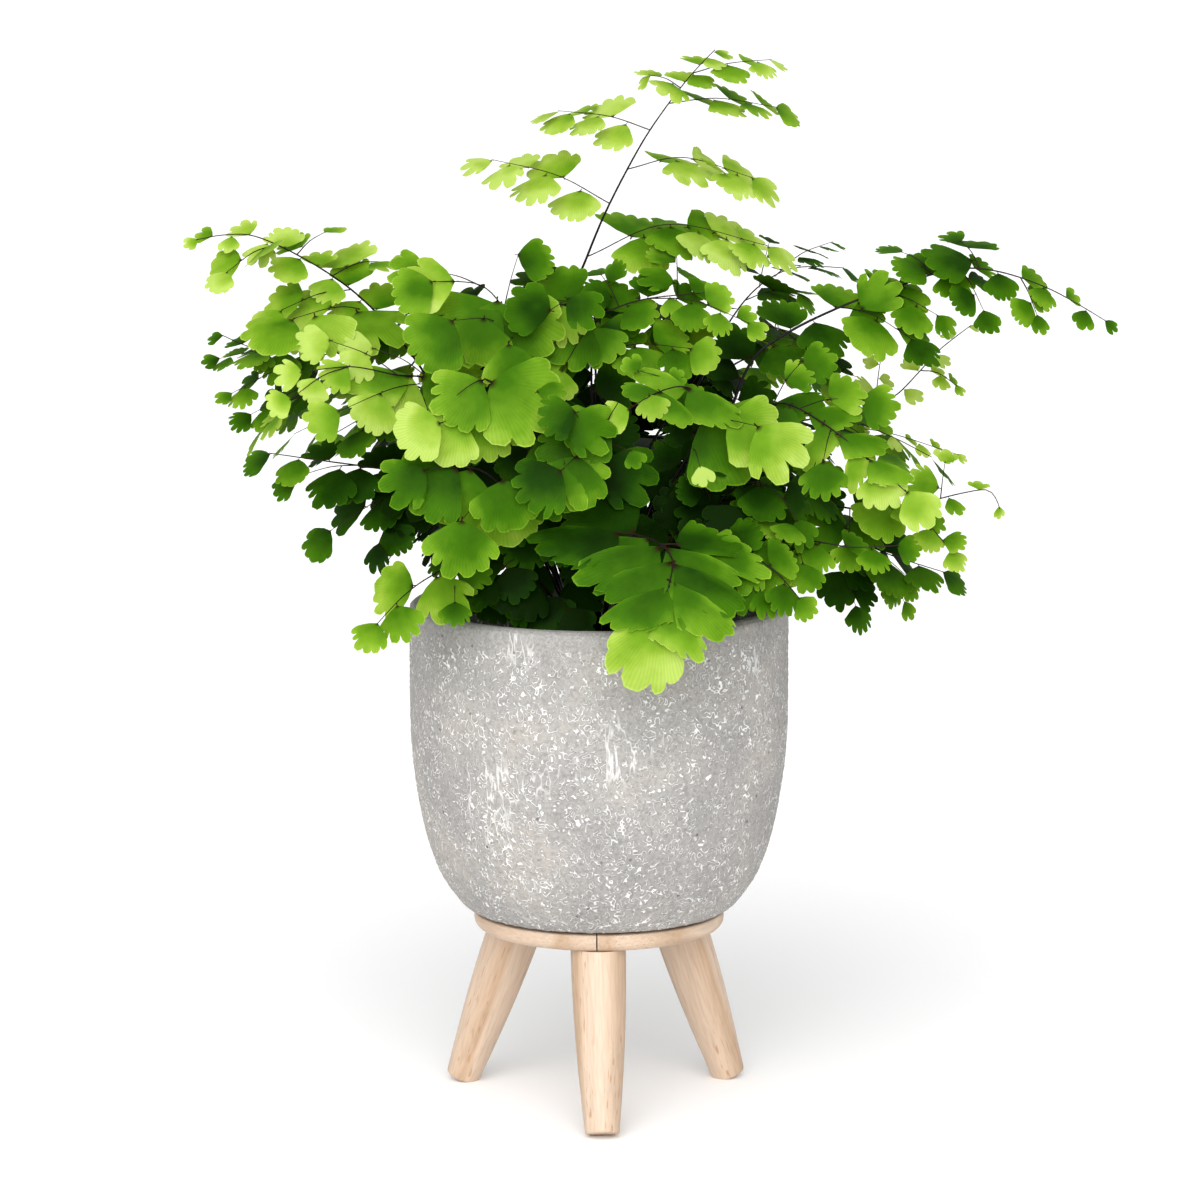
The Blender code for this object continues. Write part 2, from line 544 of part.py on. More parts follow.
def make_screws(material, carrier):
    """The six screws, and a hole of each shape for the arcs and legs."""
    holes = []
    for number, azimuth in enumerate(JOINT_AZIMUTHS):
        for hand, place in enumerate(screw_places(azimuth)):
            screw = turned(f"screw_{number * 2 + hand + 1}", screw_profile(0), 10, material, carrier)
            name = f"screw_hole_{number * 2 + hand + 1}"
            hole = turned(name, screw_profile(GAP), 10, None, carrier, cutters)
            hole.hide_render = True
            hole.display_type = "WIRE"
            screw.location = hole.location = place * MM
            holes.append(hole)
    return holes


def make_ring_arc(number, material, carrier, holes):
    """A third of the flat ring: its section swept round, with the lower edges rounded."""
    low, high, soft = RING_TOP - RING_THICKNESS, RING_TOP, RING_ROUNDING
    section = [(RING_INSIDE, high), (RING_INSIDE, low + 1), (RING_INSIDE + 1, low),
               (RING_OUTSIDE - soft, low)]
    section += [(RING_OUTSIDE - soft + soft * math.sin(turn), low + soft - soft * math.cos(turn))
                for turn in (math.radians(30), math.radians(60), math.radians(90))]
    section.append((RING_OUTSIDE, high))
    joint_gap = GAP / RING_INSIDE
    start = math.radians(JOINT_AZIMUTHS[number]) + joint_gap / 2
    sweep = math.radians(120) - joint_gap
    bm = bmesh.new()
    face = bm.faces.new([bm.verts.new((radius * MM, 0, height * MM)) for radius, height in section])
    swept = bmesh.ops.spin(bm, geom=[face, *face.edges, *face.verts], axis=(0, 0, 1), angle=sweep, steps=11)
    bmesh.ops.remove_doubles(bm, verts=bm.verts, dist=0.000001)
    bmesh.ops.recalc_face_normals(bm, faces=bm.faces)
    mesh = bpy.data.meshes.new("ring_arc")
    bm.to_mesh(mesh)
    bm.free()
    arc = add_object(f"ring_arc_{number + 1}", mesh, material, carrier)
    arc.rotation_euler.z = start
    for hole in (holes[number * 2 + 1], holes[(number * 2 + 2) % 6]):
        cut(arc, hole)
    return arc


def make_leg(number, material, carrier, holes):
    """A tapered, slightly bulging leg, splayed outwards, cut level under the ring and at its foot."""
    ring_under = RING_TOP - RING_THICKNESS - GAP
    top = on_circle(LEG_TOP_AZIMUTHS[number], LEG_TOP_PLACE) + Vector((0, 0, ring_under))
    foot = on_circle(LEG_FOOT_AZIMUTHS[number], LEG_FOOT_PLACE)
    upright = Vector((0, 0, 1))
    splay = upright.angle(top - foot)
    length = (top - foot).length
    steps = 4
    over = 12
    profile = [(0, length + over)]
    for step in range(steps + 1):
        share = step / steps
        bulge = LEG_BULGE * math.sin(math.pi * share)
        radius = LEG_TOP_RADIUS + (LEG_FOOT_RADIUS - LEG_TOP_RADIUS) * share + bulge
        profile.append((radius, (length + over) * (1 - share) + 0.8 * (step == steps)))
    profile += [(LEG_FOOT_RADIUS - 0.6, 0), (0, 0)]
    leg = turned(f"leg_{number + 1}", profile, 18, material, carrier)
    leg.rotation_mode = "QUATERNION"
    leg.rotation_quaternion = upright.rotation_difference(top - foot)
    leg.location = (foot + upright * (LEG_FOOT_RADIUS * math.sin(splay) - FOOT_FACET)) * MM
    span = 120
    above = box_mesh("leg_top_cut", (-span, -span, ring_under), (span, span, span))
    below = box_mesh("leg_foot_cut", (-span, -span, -span), (span, span, 0))
    top = cutter(f"leg_top_cut_{number + 1}", above, carrier)
    floor = cutter(f"leg_foot_cut_{number + 1}", below, carrier)
    for tool in (top, floor, holes[number * 2], holes[number * 2 + 1]):
        cut(leg, tool)
    return leg


def tubes(name, lines, radii):
    """A mesh of round tubes along lines, as (start radius, end radius) each, with their ends closed."""
    curve = bpy.data.curves.new(name, "CURVE")
    curve.dimensions = "3D"
    curve.bevel_depth = MM
    curve.bevel_resolution = 0
    curve.use_fill_caps = True
    for line, (start, end) in zip(lines, radii):
        spline = curve.splines.new("POLY")
        spline.points.add(len(line) - 1)
        for index, point in enumerate(line):
            spline.points[index].co = (*(point * MM), 1)
            spline.points[index].radius = start + (end - start) * index / (len(line) - 1)
    guide = bpy.data.objects.new(name, curve)
    bpy.context.scene.collection.objects.link(guide)
    bpy.context.view_layer.update()
    mesh = bpy.data.meshes.new_from_object(guide.evaluated_get(bpy.context.evaluated_depsgraph_get()))
    bpy.data.objects.remove(guide, do_unlink=True)
    bpy.data.curves.remove(curve)
    bm = bmesh.new()
    bm.from_mesh(mesh)
    bmesh.ops.remove_doubles(bm, verts=bm.verts, dist=0.000001)
    bmesh.ops.recalc_face_normals(bm, faces=bm.faces)
    bm.to_mesh(mesh)
    bm.free()
    return mesh


def add_leaflet(bm, leaflet):
    """A thin lens with the leaflet's outline: a flattened sphere of four sides."""
    base, axis, normal, length, kind, hand = leaflet
    across = normal.cross(axis)
    lens = bmesh.ops.create_uvsphere(bm, u_segments=4, v_segments=2, radius=1)["verts"]
    rim = sorted((vert for vert in lens if abs(vert.co.z) < 0.5),
                 key=lambda vert: math.atan2(vert.co.y, vert.co.x) % (2 * math.pi - 0.01))
    crowns = [vert for vert in lens if abs(vert.co.z) > 0.5]
    for vert, (x, y) in zip(rim, outline(kind, hand)):
        vert.co = (base + axis * x * length + across * y * length) * MM
    for vert in crowns:
        side = 1 if vert.co.z > 0 else -1
        vert.co = (base + axis * LEAFLET_CROWN * length + normal * side * LEAFLET_THICKNESS / 2) * MM


def make_frond(frond, lines, leaflets, material, carrier):
    """One frond as one body: its stalk, then its twigs, then its leaflets joined on."""
    name, radius = frond[0], frond[1]
    stalk, twigs = lines
    plant = add_object(name, tubes(name, [stalk], [(radius, STALK_TIP)]), material, carrier)
    for number, (twig, _, _) in enumerate(twigs):
        mesh = tubes(f"{name}_twig", [twig], [(TWIG_RADIUS, TWIG_RADIUS * 0.8)])
        join(plant, cutter(f"{name}_twig_{number + 1}", mesh, carrier))
    bm = bmesh.new()
    for leaflet in leaflets:
        if leaflet[3] >= SMALLEST_LEAFLET:
            add_leaflet(bm, leaflet)
    mesh = bpy.data.meshes.new(f"{name}_leaflets")
    bm.to_mesh(mesh)
    bm.free()
    join(plant, cutter(f"{name}_leaflets", mesh, carrier))
    return plant


def build():
    start_scene()
    cement = plain_material("cement", (0.48, 0.46, 0.43), 0.85)
    peat = plain_material("peat", (0.035, 0.022, 0.014), 0.95)
    root = plain_material("root", (0.06, 0.035, 0.02), 0.9)
    pine = plain_material("pine", (0.83, 0.63, 0.4), 0.55)
    steel = plain_material("zinc_plated_steel", (0.7, 0.7, 0.72), 0.35, 1.0)
    young = plain_material("young_leaf", (0.3, 0.55, 0.06), 0.5)
    mature = plain_material("mature_leaf", (0.07, 0.24, 0.02), 0.5)

    carrier = bpy.data.objects.new("pot_axis", None)
    carrier.location = Vector((AXIS_X, AXIS_Y, 0)) * MM
    parts.objects.link(carrier)

    pot = make_pot(cement, carrier)
    soil = make_soil(peat, carrier)
    make_rootstock(root, carrier)
    holes = make_screws(steel, carrier)
    for number in range(3):
        make_ring_arc(number, pine, carrier, holes)
        make_leg(number, pine, carrier, holes)

    neighbours = Neighbours()
    bpy.context.view_layer.update()
    graph = bpy.context.evaluated_depsgraph_get()
    for piece in (pot, soil):
        mesh = bpy.data.meshes.new_from_object(piece.evaluated_get(graph))
        corners = [vert.co / MM for vert in mesh.vertices]
        neighbours.add(piece.name, corners, [tuple(face.vertices) for face in mesh.polygons])
        bpy.data.meshes.remove(mesh)
    fronds = all_fronds()
    laid = lay_lines(fronds, neighbours)
    grown = lay_leaflets(fronds, laid, neighbours)
    for frond in fronds:
        material = young if frond[2] >= 0.5 else mature
        make_frond(frond, laid[frond[0]], grown[frond[0]], material, carrier)
    return fronds, laid, grown


if __name__ == "__main__":
    build()
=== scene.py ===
"""Potted maidenhair fern in a cement pot on a three-legged pine stand: how each piece looks.

Metres, +Z up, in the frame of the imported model. Sizes are written in millimetres and turned by MM.
"""

import json
import math
import random

import bmesh
import bpy
from mathutils import Matrix, Vector, noise
from mathutils.bvhtree import BVHTree
from mathutils.geometry import interpolate_bezier

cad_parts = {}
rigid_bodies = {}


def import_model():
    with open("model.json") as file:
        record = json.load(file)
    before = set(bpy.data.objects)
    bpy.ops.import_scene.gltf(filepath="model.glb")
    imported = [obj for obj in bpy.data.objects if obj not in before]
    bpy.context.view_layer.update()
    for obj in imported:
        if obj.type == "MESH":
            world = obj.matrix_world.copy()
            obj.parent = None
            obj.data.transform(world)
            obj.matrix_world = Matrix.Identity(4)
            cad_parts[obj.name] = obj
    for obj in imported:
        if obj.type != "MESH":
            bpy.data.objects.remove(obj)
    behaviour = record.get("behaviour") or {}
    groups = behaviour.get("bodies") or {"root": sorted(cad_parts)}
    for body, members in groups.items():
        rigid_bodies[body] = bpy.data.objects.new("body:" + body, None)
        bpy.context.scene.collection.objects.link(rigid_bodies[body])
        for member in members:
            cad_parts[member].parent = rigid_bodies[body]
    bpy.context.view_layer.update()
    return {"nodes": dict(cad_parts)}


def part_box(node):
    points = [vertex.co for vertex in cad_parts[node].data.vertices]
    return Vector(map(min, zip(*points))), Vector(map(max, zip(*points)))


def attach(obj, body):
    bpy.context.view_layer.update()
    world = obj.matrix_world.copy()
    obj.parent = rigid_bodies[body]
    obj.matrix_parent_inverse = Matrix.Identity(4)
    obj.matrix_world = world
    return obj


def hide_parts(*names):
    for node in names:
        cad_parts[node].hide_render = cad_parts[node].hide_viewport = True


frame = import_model()
MM = 0.001


# ---------------------------------------------------------------- pot
# Cast cement, 165 mm across, with a skin trowelled into short curls while it was wet. The curls were
# brushed with thin white paint, which also ran into streaks and patches. The lip was wiped smooth.

POT_OUTSIDE = [(78.2, 222.3), (80.6, 222.1), (82.1, 221), (82.5, 218.5), (82.5, 200), (82.5, 180),
               (82.1, 163), (80.6, 147), (77.9, 130.5), (74.4, 116), (69.4, 103), (62.3, 92.5), (57.8, 88.2),
               (52.5, 86.3), (49, 86)]   # radius and height, from the lip down
POT_INSIDE = [(76.2, 221.9), (74.8, 220.8), (74.5, 218), (74.5, 190)]
POT_BASE = (30, 86)            # the wall ends here, under the pot
POT_SIDES = 480
ROW_HEIGHT = 1.1               # between rows of the outer wall, fine enough to carry the curls
CURL_HEIGHT = 0.22
CURL_SPACING = 4.1             # period of the noise whose level lines the curls follow
CURL_LEVELS = 0.085            # the step between those levels
LIP_BAND = 9                   # the smooth band under the lip

pot_low, pot_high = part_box("pot")
AXIS = Vector(((pot_low.x + pot_high.x) / 2, (pot_low.y + pot_high.y) / 2, 0))


def linear(hex_colour):
    """An sRGB colour as the linear RGBA that Blender's sockets take."""
    shares = [int(hex_colour[at:at + 2], 16) / 255 for at in (1, 3, 5)]
    return (*[share / 12.92 if share < 0.04045 else ((share + 0.055) / 1.055) ** 2.4 for share in shares], 1)


def feed(tree, node, inputs):
    """Sets each input of a node to a value, or links it to the socket it comes from."""
    for key, value in inputs.items():
        if isinstance(value, bpy.types.NodeSocket):
            tree.links.new(value, node.inputs[key])
        else:
            node.inputs[key].default_value = value


def add(tree, kind, inputs=None, output=0, stops=(), **settings):
    """Adds a node with its settings, inputs and colour stops, and returns one of its outputs."""
    made = tree.nodes.new(kind)
    for name, value in settings.items():
        setattr(made, name, value)
    for index, (place, colour) in enumerate(stops):
        stop = made.color_ramp.elements[index] if index < 2 else made.color_ramp.elements.new(place)
        stop.position, stop.color = place, linear(colour)
    feed(tree, made, inputs or {})
    return made.outputs[output]


def new_material(name):
    """A new material, its nodes and its shader."""
    material = bpy.data.materials.new(name)
    material.use_nodes = True
    return material, material.node_tree, material.node_tree.nodes["Principled BSDF"]


def mesh_from(name, bm):
    """Turns a finished bmesh into a mesh."""
    mesh = bpy.data.meshes.new(name)
    bm.to_mesh(mesh)
    bm.free()
    return mesh


def smooth_line(points, spacing=None):
    """A smooth line through the points, with a point about every spacing, or one halfway between each two."""
    points = [Vector(point) for point in points]
    ends = [points[0] * 2 - points[1], *points, points[-1] * 2 - points[-2]]
    line = []
    for before, start, end, after in zip(ends, ends[1:], ends[2:], ends[3:]):
        steps = max(1, round((end - start).length / spacing)) if spacing else 2
        bend = (start + (end - before) / 6, end - (after - start) / 6)
        line += interpolate_bezier(start, *bend, end, steps + 1)[:-1]
    return [*line, points[-1]]


def turned(name, profile, sides, closed_ends=True):
    """A turned mesh on the pot's axis from (radius, height) in mm, listed down its outer side."""
    bm = bmesh.new()
    rings = []
    for radius, height in profile:
        ring = []
        for side in range(sides):
            turn = 2 * math.pi * side / sides
            place = Vector((math.cos(turn) * radius, math.sin(turn) * radius, height))
            ring.append(bm.verts.new(place * MM + AXIS))
        rings.append(ring)
    for upper, lower in zip(rings, rings[1:]):
        for side in range(sides):
            after = (side + 1) % sides
            bm.faces.new((upper[side], lower[side], lower[after], upper[after])).smooth = True
    if closed_ends:
        bm.faces.new(rings[0])
        bm.faces.new(reversed(rings[-1]))
    return mesh_from(name, bm)


def show(name, mesh, material=None):
    thing = bpy.data.objects.new(name, mesh)
    bpy.context.scene.collection.objects.link(thing)
    if material:
        mesh.materials.clear()
        mesh.materials.append(material)
    return thing


def settle(thing, tree, **inputs):
    """Runs a node tree on an object with its named inputs set, and keeps the result as a plain mesh."""
    step = thing.modifiers.new(tree.name, "NODES")
    step.node_group = tree
    for item in tree.interface.items_tree:
        if item.in_out == "INPUT" and item.name in inputs:
            step[item.identifier] = inputs[item.name]
    bpy.context.view_layer.update()
    result = bpy.data.meshes.new_from_object(thing.evaluated_get(bpy.context.evaluated_depsgraph_get()))
    thing.modifiers.remove(step)
    thing.data = result
    return thing


def new_tree(name, **sockets):
    """An empty node tree for a modifier, with its named inputs, and its two end nodes."""
    tree = bpy.data.node_groups.new(name, "GeometryNodeTree")
    tree.interface.new_socket("Geometry", in_out="INPUT", socket_type="NodeSocketGeometry")
    for label, kind in sockets.items():
        tree.interface.new_socket(label.replace("_", " "), in_out="INPUT", socket_type=f"NodeSocket{kind}")
    tree.interface.new_socket("Geometry", in_out="OUTPUT", socket_type="NodeSocketGeometry")
    return tree, tree.nodes.new("NodeGroupInput"), tree.nodes.new("NodeGroupOutput")


def send_out(tree, geometry, given, result):
    """Makes the geometry real, gives it its material and ends the tree with it."""
    real = add(tree, "GeometryNodeRealizeInstances", {0: geometry})
    done = add(tree, "GeometryNodeSetMaterial", {0: real, "Material": given.outputs["Finish"]})
    tree.links.new(done, result.inputs[0])


def curls(tree, place):
    """Curled ridges half a millimetre wide, level lines of a fine noise in short runs, and small dots."""
    field = add(tree, "ShaderNodeTexNoise", {"Vector": place, "Scale": 1000 / CURL_SPACING, "Detail": 1.0})
    level = add(tree, "ShaderNodeMath", {0: field, 1: CURL_LEVELS}, operation="PINGPONG")
    ridge = add(tree, "ShaderNodeMapRange", {"Value": level, 1: 0.008, 2: 0.034, 3: 1.0, 4: 0.0},
                interpolation_type="SMOOTHSTEP")
    breaks = add(tree, "ShaderNodeTexNoise", {"Vector": place, "Scale": 1000 / 3.4, "Detail": 0.5})
    run = add(tree, "ShaderNodeMapRange", {"Value": breaks, 1: 0.44, 2: 0.48, 3: 0.0, 4: 1.0},
              interpolation_type="SMOOTHSTEP")
    cells = add(tree, "ShaderNodeTexVoronoi", {"Vector": place, "Scale": 1000 / 2.3})
    dots = add(tree, "ShaderNodeMapRange", {"Value": cells, 1: 0.08, 2: 0.14, 3: 0.9, 4: 0.0})
    height = add(tree, "ShaderNodeSeparateXYZ", {0: place}, output=2)
    lip = (POT_OUTSIDE[0][1] - LIP_BAND) * MM
    below = add(tree, "ShaderNodeMapRange",
                {"Value": height, 1: lip - 0.004, 2: lip + 0.003, 3: 1.0, 4: 0.15})
    broken = add(tree, "ShaderNodeMath", {0: ridge, 1: run}, operation="MULTIPLY")
    whole = add(tree, "ShaderNodeMath", {0: broken, 1: dots}, operation="MAXIMUM")
    return add(tree, "ShaderNodeMath", {0: whole, 1: below}, operation="MULTIPLY")


def streaks(tree, place):
    """Long cracked runs of paint down the wall, in a few patches."""
    tall = add(tree, "ShaderNodeVectorMath", {0: place, 1: (1, 1, 0.22)}, operation="MULTIPLY")
    field = add(tree, "ShaderNodeTexNoise",
                {"Vector": tall, "Scale": 1000 / 11, "Detail": 3.0, "Roughness": 0.6})
    level = add(tree, "ShaderNodeMath", {0: field, 1: 0.5}, operation="SUBTRACT")
    away = add(tree, "ShaderNodeMath", {0: level}, operation="ABSOLUTE")
    line = add(tree, "ShaderNodeMapRange", {"Value": away, 1: 0.0, 2: 0.02, 3: 1.0, 4: 0.0})
    region = add(tree, "ShaderNodeTexNoise", {"Vector": place, "Scale": 1000 / 42, "Detail": 1.0})
    patch = add(tree, "ShaderNodeMapRange", {"Value": region, 1: 0.61, 2: 0.71, 3: 0.0, 4: 0.7})
    return add(tree, "ShaderNodeMath", {0: line, 1: patch}, operation="MULTIPLY")


def cement():
    """Grey-beige cement: matt, with fine grit, darker damp clouds, and white paint on its curls."""
    material, tree, shader = new_material("painted_cement")
    place = add(tree, "ShaderNodeTexCoord", output=3)
    ridges = curls(tree, place)
    runs = streaks(tree, place)
    clouds = add(tree, "ShaderNodeTexNoise",
                 {"Vector": place, "Scale": 1000 / 48, "Detail": 4.0, "Roughness": 0.6})
    base = add(tree, "ShaderNodeValToRGB", {0: clouds},
               stops=[(0.3, "#908E8C"), (0.5, "#9C9996"), (0.7, "#AAA49D")])
    grit = add(tree, "ShaderNodeTexNoise",
               {"Vector": place, "Scale": 1000 / 0.9, "Detail": 3.0, "Roughness": 0.7})
    speck = add(tree, "ShaderNodeMapRange", {"Value": grit, 1: 0.35, 2: 0.7, 3: 0.82, 4: 1.12})
    worn = add(tree, "ShaderNodeTexNoise", {"Vector": place, "Scale": 1000 / 1.7, "Detail": 2.0})
    hollow = add(tree, "ShaderNodeMapRange", {"Value": worn, 1: 0.3, 2: 0.55, 3: 0.8, 4: 1.06})
    shaded = add(tree, "ShaderNodeMath", {0: speck, 1: hollow}, operation="MULTIPLY")
    gritty = add(tree, "ShaderNodeVectorMath", {0: base, "Scale": shaded}, operation="SCALE")
    patches = add(tree, "ShaderNodeTexNoise",
                  {"Vector": place, "Scale": 1000 / 19, "Detail": 5.0, "Roughness": 0.72})
    smear = add(tree, "ShaderNodeMapRange", {"Value": patches, 1: 0.67, 2: 0.76, 3: 0.0, 4: 0.5})
    thick = add(tree, "ShaderNodeTexNoise", {"Vector": place, "Scale": 1000 / 13, "Detail": 2.0})
    brushed = add(tree, "ShaderNodeMapRange", {"Value": thick, 1: 0.34, 2: 0.6, 3: 0.35, 4: 0.9})
    on_curls = add(tree, "ShaderNodeMath", {0: ridges, 1: brushed}, operation="MULTIPLY")
    on_runs = add(tree, "ShaderNodeMath", {0: on_curls, 1: runs}, operation="MAXIMUM")
    paint = add(tree, "ShaderNodeMath", {0: on_runs, 1: smear}, operation="MAXIMUM")
    painted = add(tree, "ShaderNodeMix", {0: paint, 6: gritty, 7: linear("#EFEEEC")}, 2, data_type="RGBA")
    cells = add(tree, "ShaderNodeTexVoronoi", {"Vector": place, "Scale": 1000 / 11})
    pit = add(tree, "ShaderNodeMapRange", {"Value": cells, 1: 0.05, 2: 0.09, 3: 0.75, 4: 0.0})
    pitted = add(tree, "ShaderNodeMix", {0: pit, 6: painted, 7: linear("#4E4841")}, 2, data_type="RGBA")
    raised = add(tree, "ShaderNodeMath", {0: ridges, 1: runs}, operation="MAXIMUM")
    rough = add(tree, "ShaderNodeMath", {0: grit, 1: 0.22}, operation="MULTIPLY")
    height = add(tree, "ShaderNodeMath", {0: raised, 1: rough}, operation="ADD")
    bump = add(tree, "ShaderNodeBump", {"Height": height, "Strength": 0.8, "Distance": 0.0005})
    feed(tree, shader, {"Base Color": pitted, "Roughness": 0.86, "IOR": 1.5, "Normal": bump})
    return material


wall = smooth_line([(radius, 0, height) for radius, height in POT_OUTSIDE], ROW_HEIGHT)
mouth = [(radius, height) for radius, height in reversed(POT_INSIDE)]
pot_mesh = turned("pot_shell", mouth + [(point.x, point.z) for point in wall] + [POT_BASE], POT_SIDES, False)
pot_shell = show("pot_shell", pot_mesh)

tree, given, result = new_tree("raise_the_curls", Height="Float", Finish="Material")
place = add(tree, "GeometryNodeInputPosition")
normal = add(tree, "GeometryNodeInputNormal")
height = add(tree, "ShaderNodeMath", {0: curls(tree, place), 1: given.outputs["Height"]},
             operation="MULTIPLY")
push = add(tree, "ShaderNodeVectorMath", {0: normal, "Scale": height}, operation="SCALE")
moved = add(tree, "GeometryNodeSetPosition", {"Geometry": given.outputs["Geometry"], "Offset": push})
send_out(tree, moved, given, result)
settle(pot_shell, tree, Height=CURL_HEIGHT * MM, Finish=cement())
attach(pot_shell, "root")
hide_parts("pot")


# ---------------------------------------------------------------- soil and rootstock
# Dark peat compost with crumbs and a little white perlite, 24 mm below the lip, and in it the knot
# of creeping stem, brown and scaly, that every stalk rises from.

SOIL_RADIUS = 74.3
SOIL_HEIGHT = 198.3
SOIL_RINGS = 46
CRUMB = 2.6                    # typical crumb, across
CRUMB_COUNT = 1500
LUMP_SPACING, LUMP_HEIGHT = 9, 1.6


def peat(name, dark, light, roughness):
    """Moist peat: matt and almost black, with lighter fibres."""
    material, tree, shader = new_material(name)
    place = add(tree, "ShaderNodeTexCoord", output=3)
    grain = add(tree, "ShaderNodeTexNoise",
                {"Vector": place, "Scale": 1000 / 3, "Detail": 5.0, "Roughness": 0.7})
    colour = add(tree, "ShaderNodeValToRGB", {0: grain}, stops=[(0.35, dark), (0.72, light)])
    bump = add(tree, "ShaderNodeBump", {"Height": grain, "Strength": 0.7, "Distance": 0.0012})
    feed(tree, shader, {"Base Color": colour, "Roughness": roughness, "Normal": bump})
    return material


def crumb(name, seed):
    """A small, rather flat lump with a few facets."""
    bm = bmesh.new()
    bmesh.ops.create_icosphere(bm, subdivisions=1, radius=0.5)
    draw = random.Random(seed)
    for vert in bm.verts:
        vert.co *= draw.uniform(0.7, 1.25)
        vert.co.z *= 0.7
    return bpy.data.objects.new(name, mesh_from(name, bm))


rings = [(0.3 + (SOIL_RADIUS - 0.3) * step / SOIL_RINGS, SOIL_HEIGHT) for step in range(SOIL_RINGS + 1)]
rings += [(SOIL_RADIUS, SOIL_HEIGHT - 6), (0.3, SOIL_HEIGHT - 6)]
soil_mesh = turned("soil_surface", rings, 150, False)
for vert in soil_mesh.vertices:
    if vert.co.z > (SOIL_HEIGHT - 1) * MM:
        lump = noise.fractal(vert.co / (LUMP_SPACING * MM), 0.6, 2, 4)
        vert.co.z += lump * LUMP_HEIGHT * MM
soil_surface = show("soil_surface", soil_mesh, peat("moist_peat", "#17100B", "#3B2A1E", 0.95))

tree, given, result = new_tree("strew_crumbs", Crumbs="Collection", Amount="Float", Seed="Int",
                               Finish="Material")
level = add(tree, "GeometryNodeInputNormal")
upward = add(tree, "ShaderNodeSeparateXYZ", {0: level}, output=2)
top_only = add(tree, "FunctionNodeCompare", {0: upward, 1: 0.5}, operation="GREATER_THAN")
spots = add(tree, "GeometryNodeDistributePointsOnFaces",
            {"Mesh": given.outputs["Geometry"], "Selection": top_only, "Density": given.outputs["Amount"],
             "Seed": given.outputs["Seed"]})
shapes = add(tree, "GeometryNodeCollectionInfo",
             {"Collection": given.outputs["Crumbs"], "Separate Children": True, "Reset Children": True})
spin = add(tree, "FunctionNodeRandomValue", {0: (0, 0, 0), 1: (6.3, 6.3, 6.3), "Seed": 1},
           data_type="FLOAT_VECTOR")
size = add(tree, "FunctionNodeRandomValue", {2: 0.35 * CRUMB * MM, 3: 1.3 * CRUMB * MM, "Seed": 2}, output=1)
strewn = add(tree, "GeometryNodeInstanceOnPoints",
             {"Points": spots, "Instance": shapes, "Pick Instance": True, "Rotation": spin, "Scale": size})
send_out(tree, strewn, given, result)

crumb_shapes = bpy.data.collections.new("crumb_shapes")
for number in range(4):
    crumb_shapes.objects.link(crumb(f"crumb_{number}", number))
area = math.pi * (SOIL_RADIUS * MM) ** 2
for name, share, seed, finish in (
        ("soil_crumbs", 0.94, 3, peat("dry_crumbs", "#1B120C", "#4A3626", 0.95)),
        ("soil_perlite", 0.06, 8, peat("perlite", "#B9B4AA", "#DAD6CE", 0.9))):
    strewing = show(name, soil_mesh.copy())
    settle(strewing, tree, Crumbs=crumb_shapes, Amount=CRUMB_COUNT * share / area, Seed=seed, Finish=finish)
    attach(strewing, "root")
    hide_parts("soil")
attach(soil_surface, "root")
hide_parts("soil")

ROOT_RADIUS = 28
ROOT_TOP = 204.6
KNOBS = 46

root_mesh = bmesh.new()
draw = random.Random(4)
for number in range(KNOBS):
    turn, reach = number * 2.4, ROOT_RADIUS * 0.86 * math.sqrt(number / KNOBS)
    knob = bmesh.ops.create_icosphere(root_mesh, subdivisions=2, radius=draw.uniform(4.2, 6.4) * MM)["verts"]
    lean = Matrix.Rotation(draw.uniform(0, 3), 3, "Z") @ Matrix.Diagonal((1.5, 0.8, 0.7))
    height = ROOT_TOP - 3.9 - 0.06 * reach
    centre = Vector((math.cos(turn) * reach, math.sin(turn) * reach, height)) * MM + AXIS
    for vert in knob:
        scaly = 1 + 0.16 * noise.noise(vert.co / (1.8 * MM) + Vector((number, 0, 0)))
        vert.co = lean @ vert.co * scaly + centre
        vert.co.z = min(vert.co.z, ROOT_TOP * MM)
for face in root_mesh.faces:
    face.smooth = True
brown = peat("brown_rootstock", "#20130B", "#5A3A22", 0.85)
rootstock_knobs = show("rootstock_knobs", mesh_from("rootstock_knobs", root_mesh), brown)
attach(rootstock_knobs, "root")
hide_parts("rootstock")


# ---------------------------------------------------------------- stand
# Sanded pine, thinly lacquered: three flat arcs butted into a ring, and three turned legs that taper
# and splay, screwed up to the joints. The grain runs along each leg and along each arc.

RING_OUTSIDE, RING_INSIDE, RING_THICKNESS = 54.9, 30, 7.8
RING_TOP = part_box("ring_arc_1")[1].z / MM
RING_SOFT = 4.8                # rounding of the lower outer edge
JOINT_AZIMUTHS = (29, 149, 269)
JOINT_GAP = 0.3
ARC_STEPS = 60
LEG_TOP_AZIMUTHS, LEG_FOOT_AZIMUTHS = (31.3, 151.3, 269.4), (32.7, 152.4, 271.2)
LEG_TOP_RADIUS, LEG_FOOT_RADIUS, LEG_BULGE = 12.1, 7.5, 1.3
LEG_TOP_PLACE, LEG_FOOT_PLACE = 39.5, 68.9
LEG_SIDES, LEG_ROWS = 64, 40
FOOT_FACET = 1.0
GRAIN_SPACING = 20.1062        # between growth rings, drawn wider than real ones so that they show


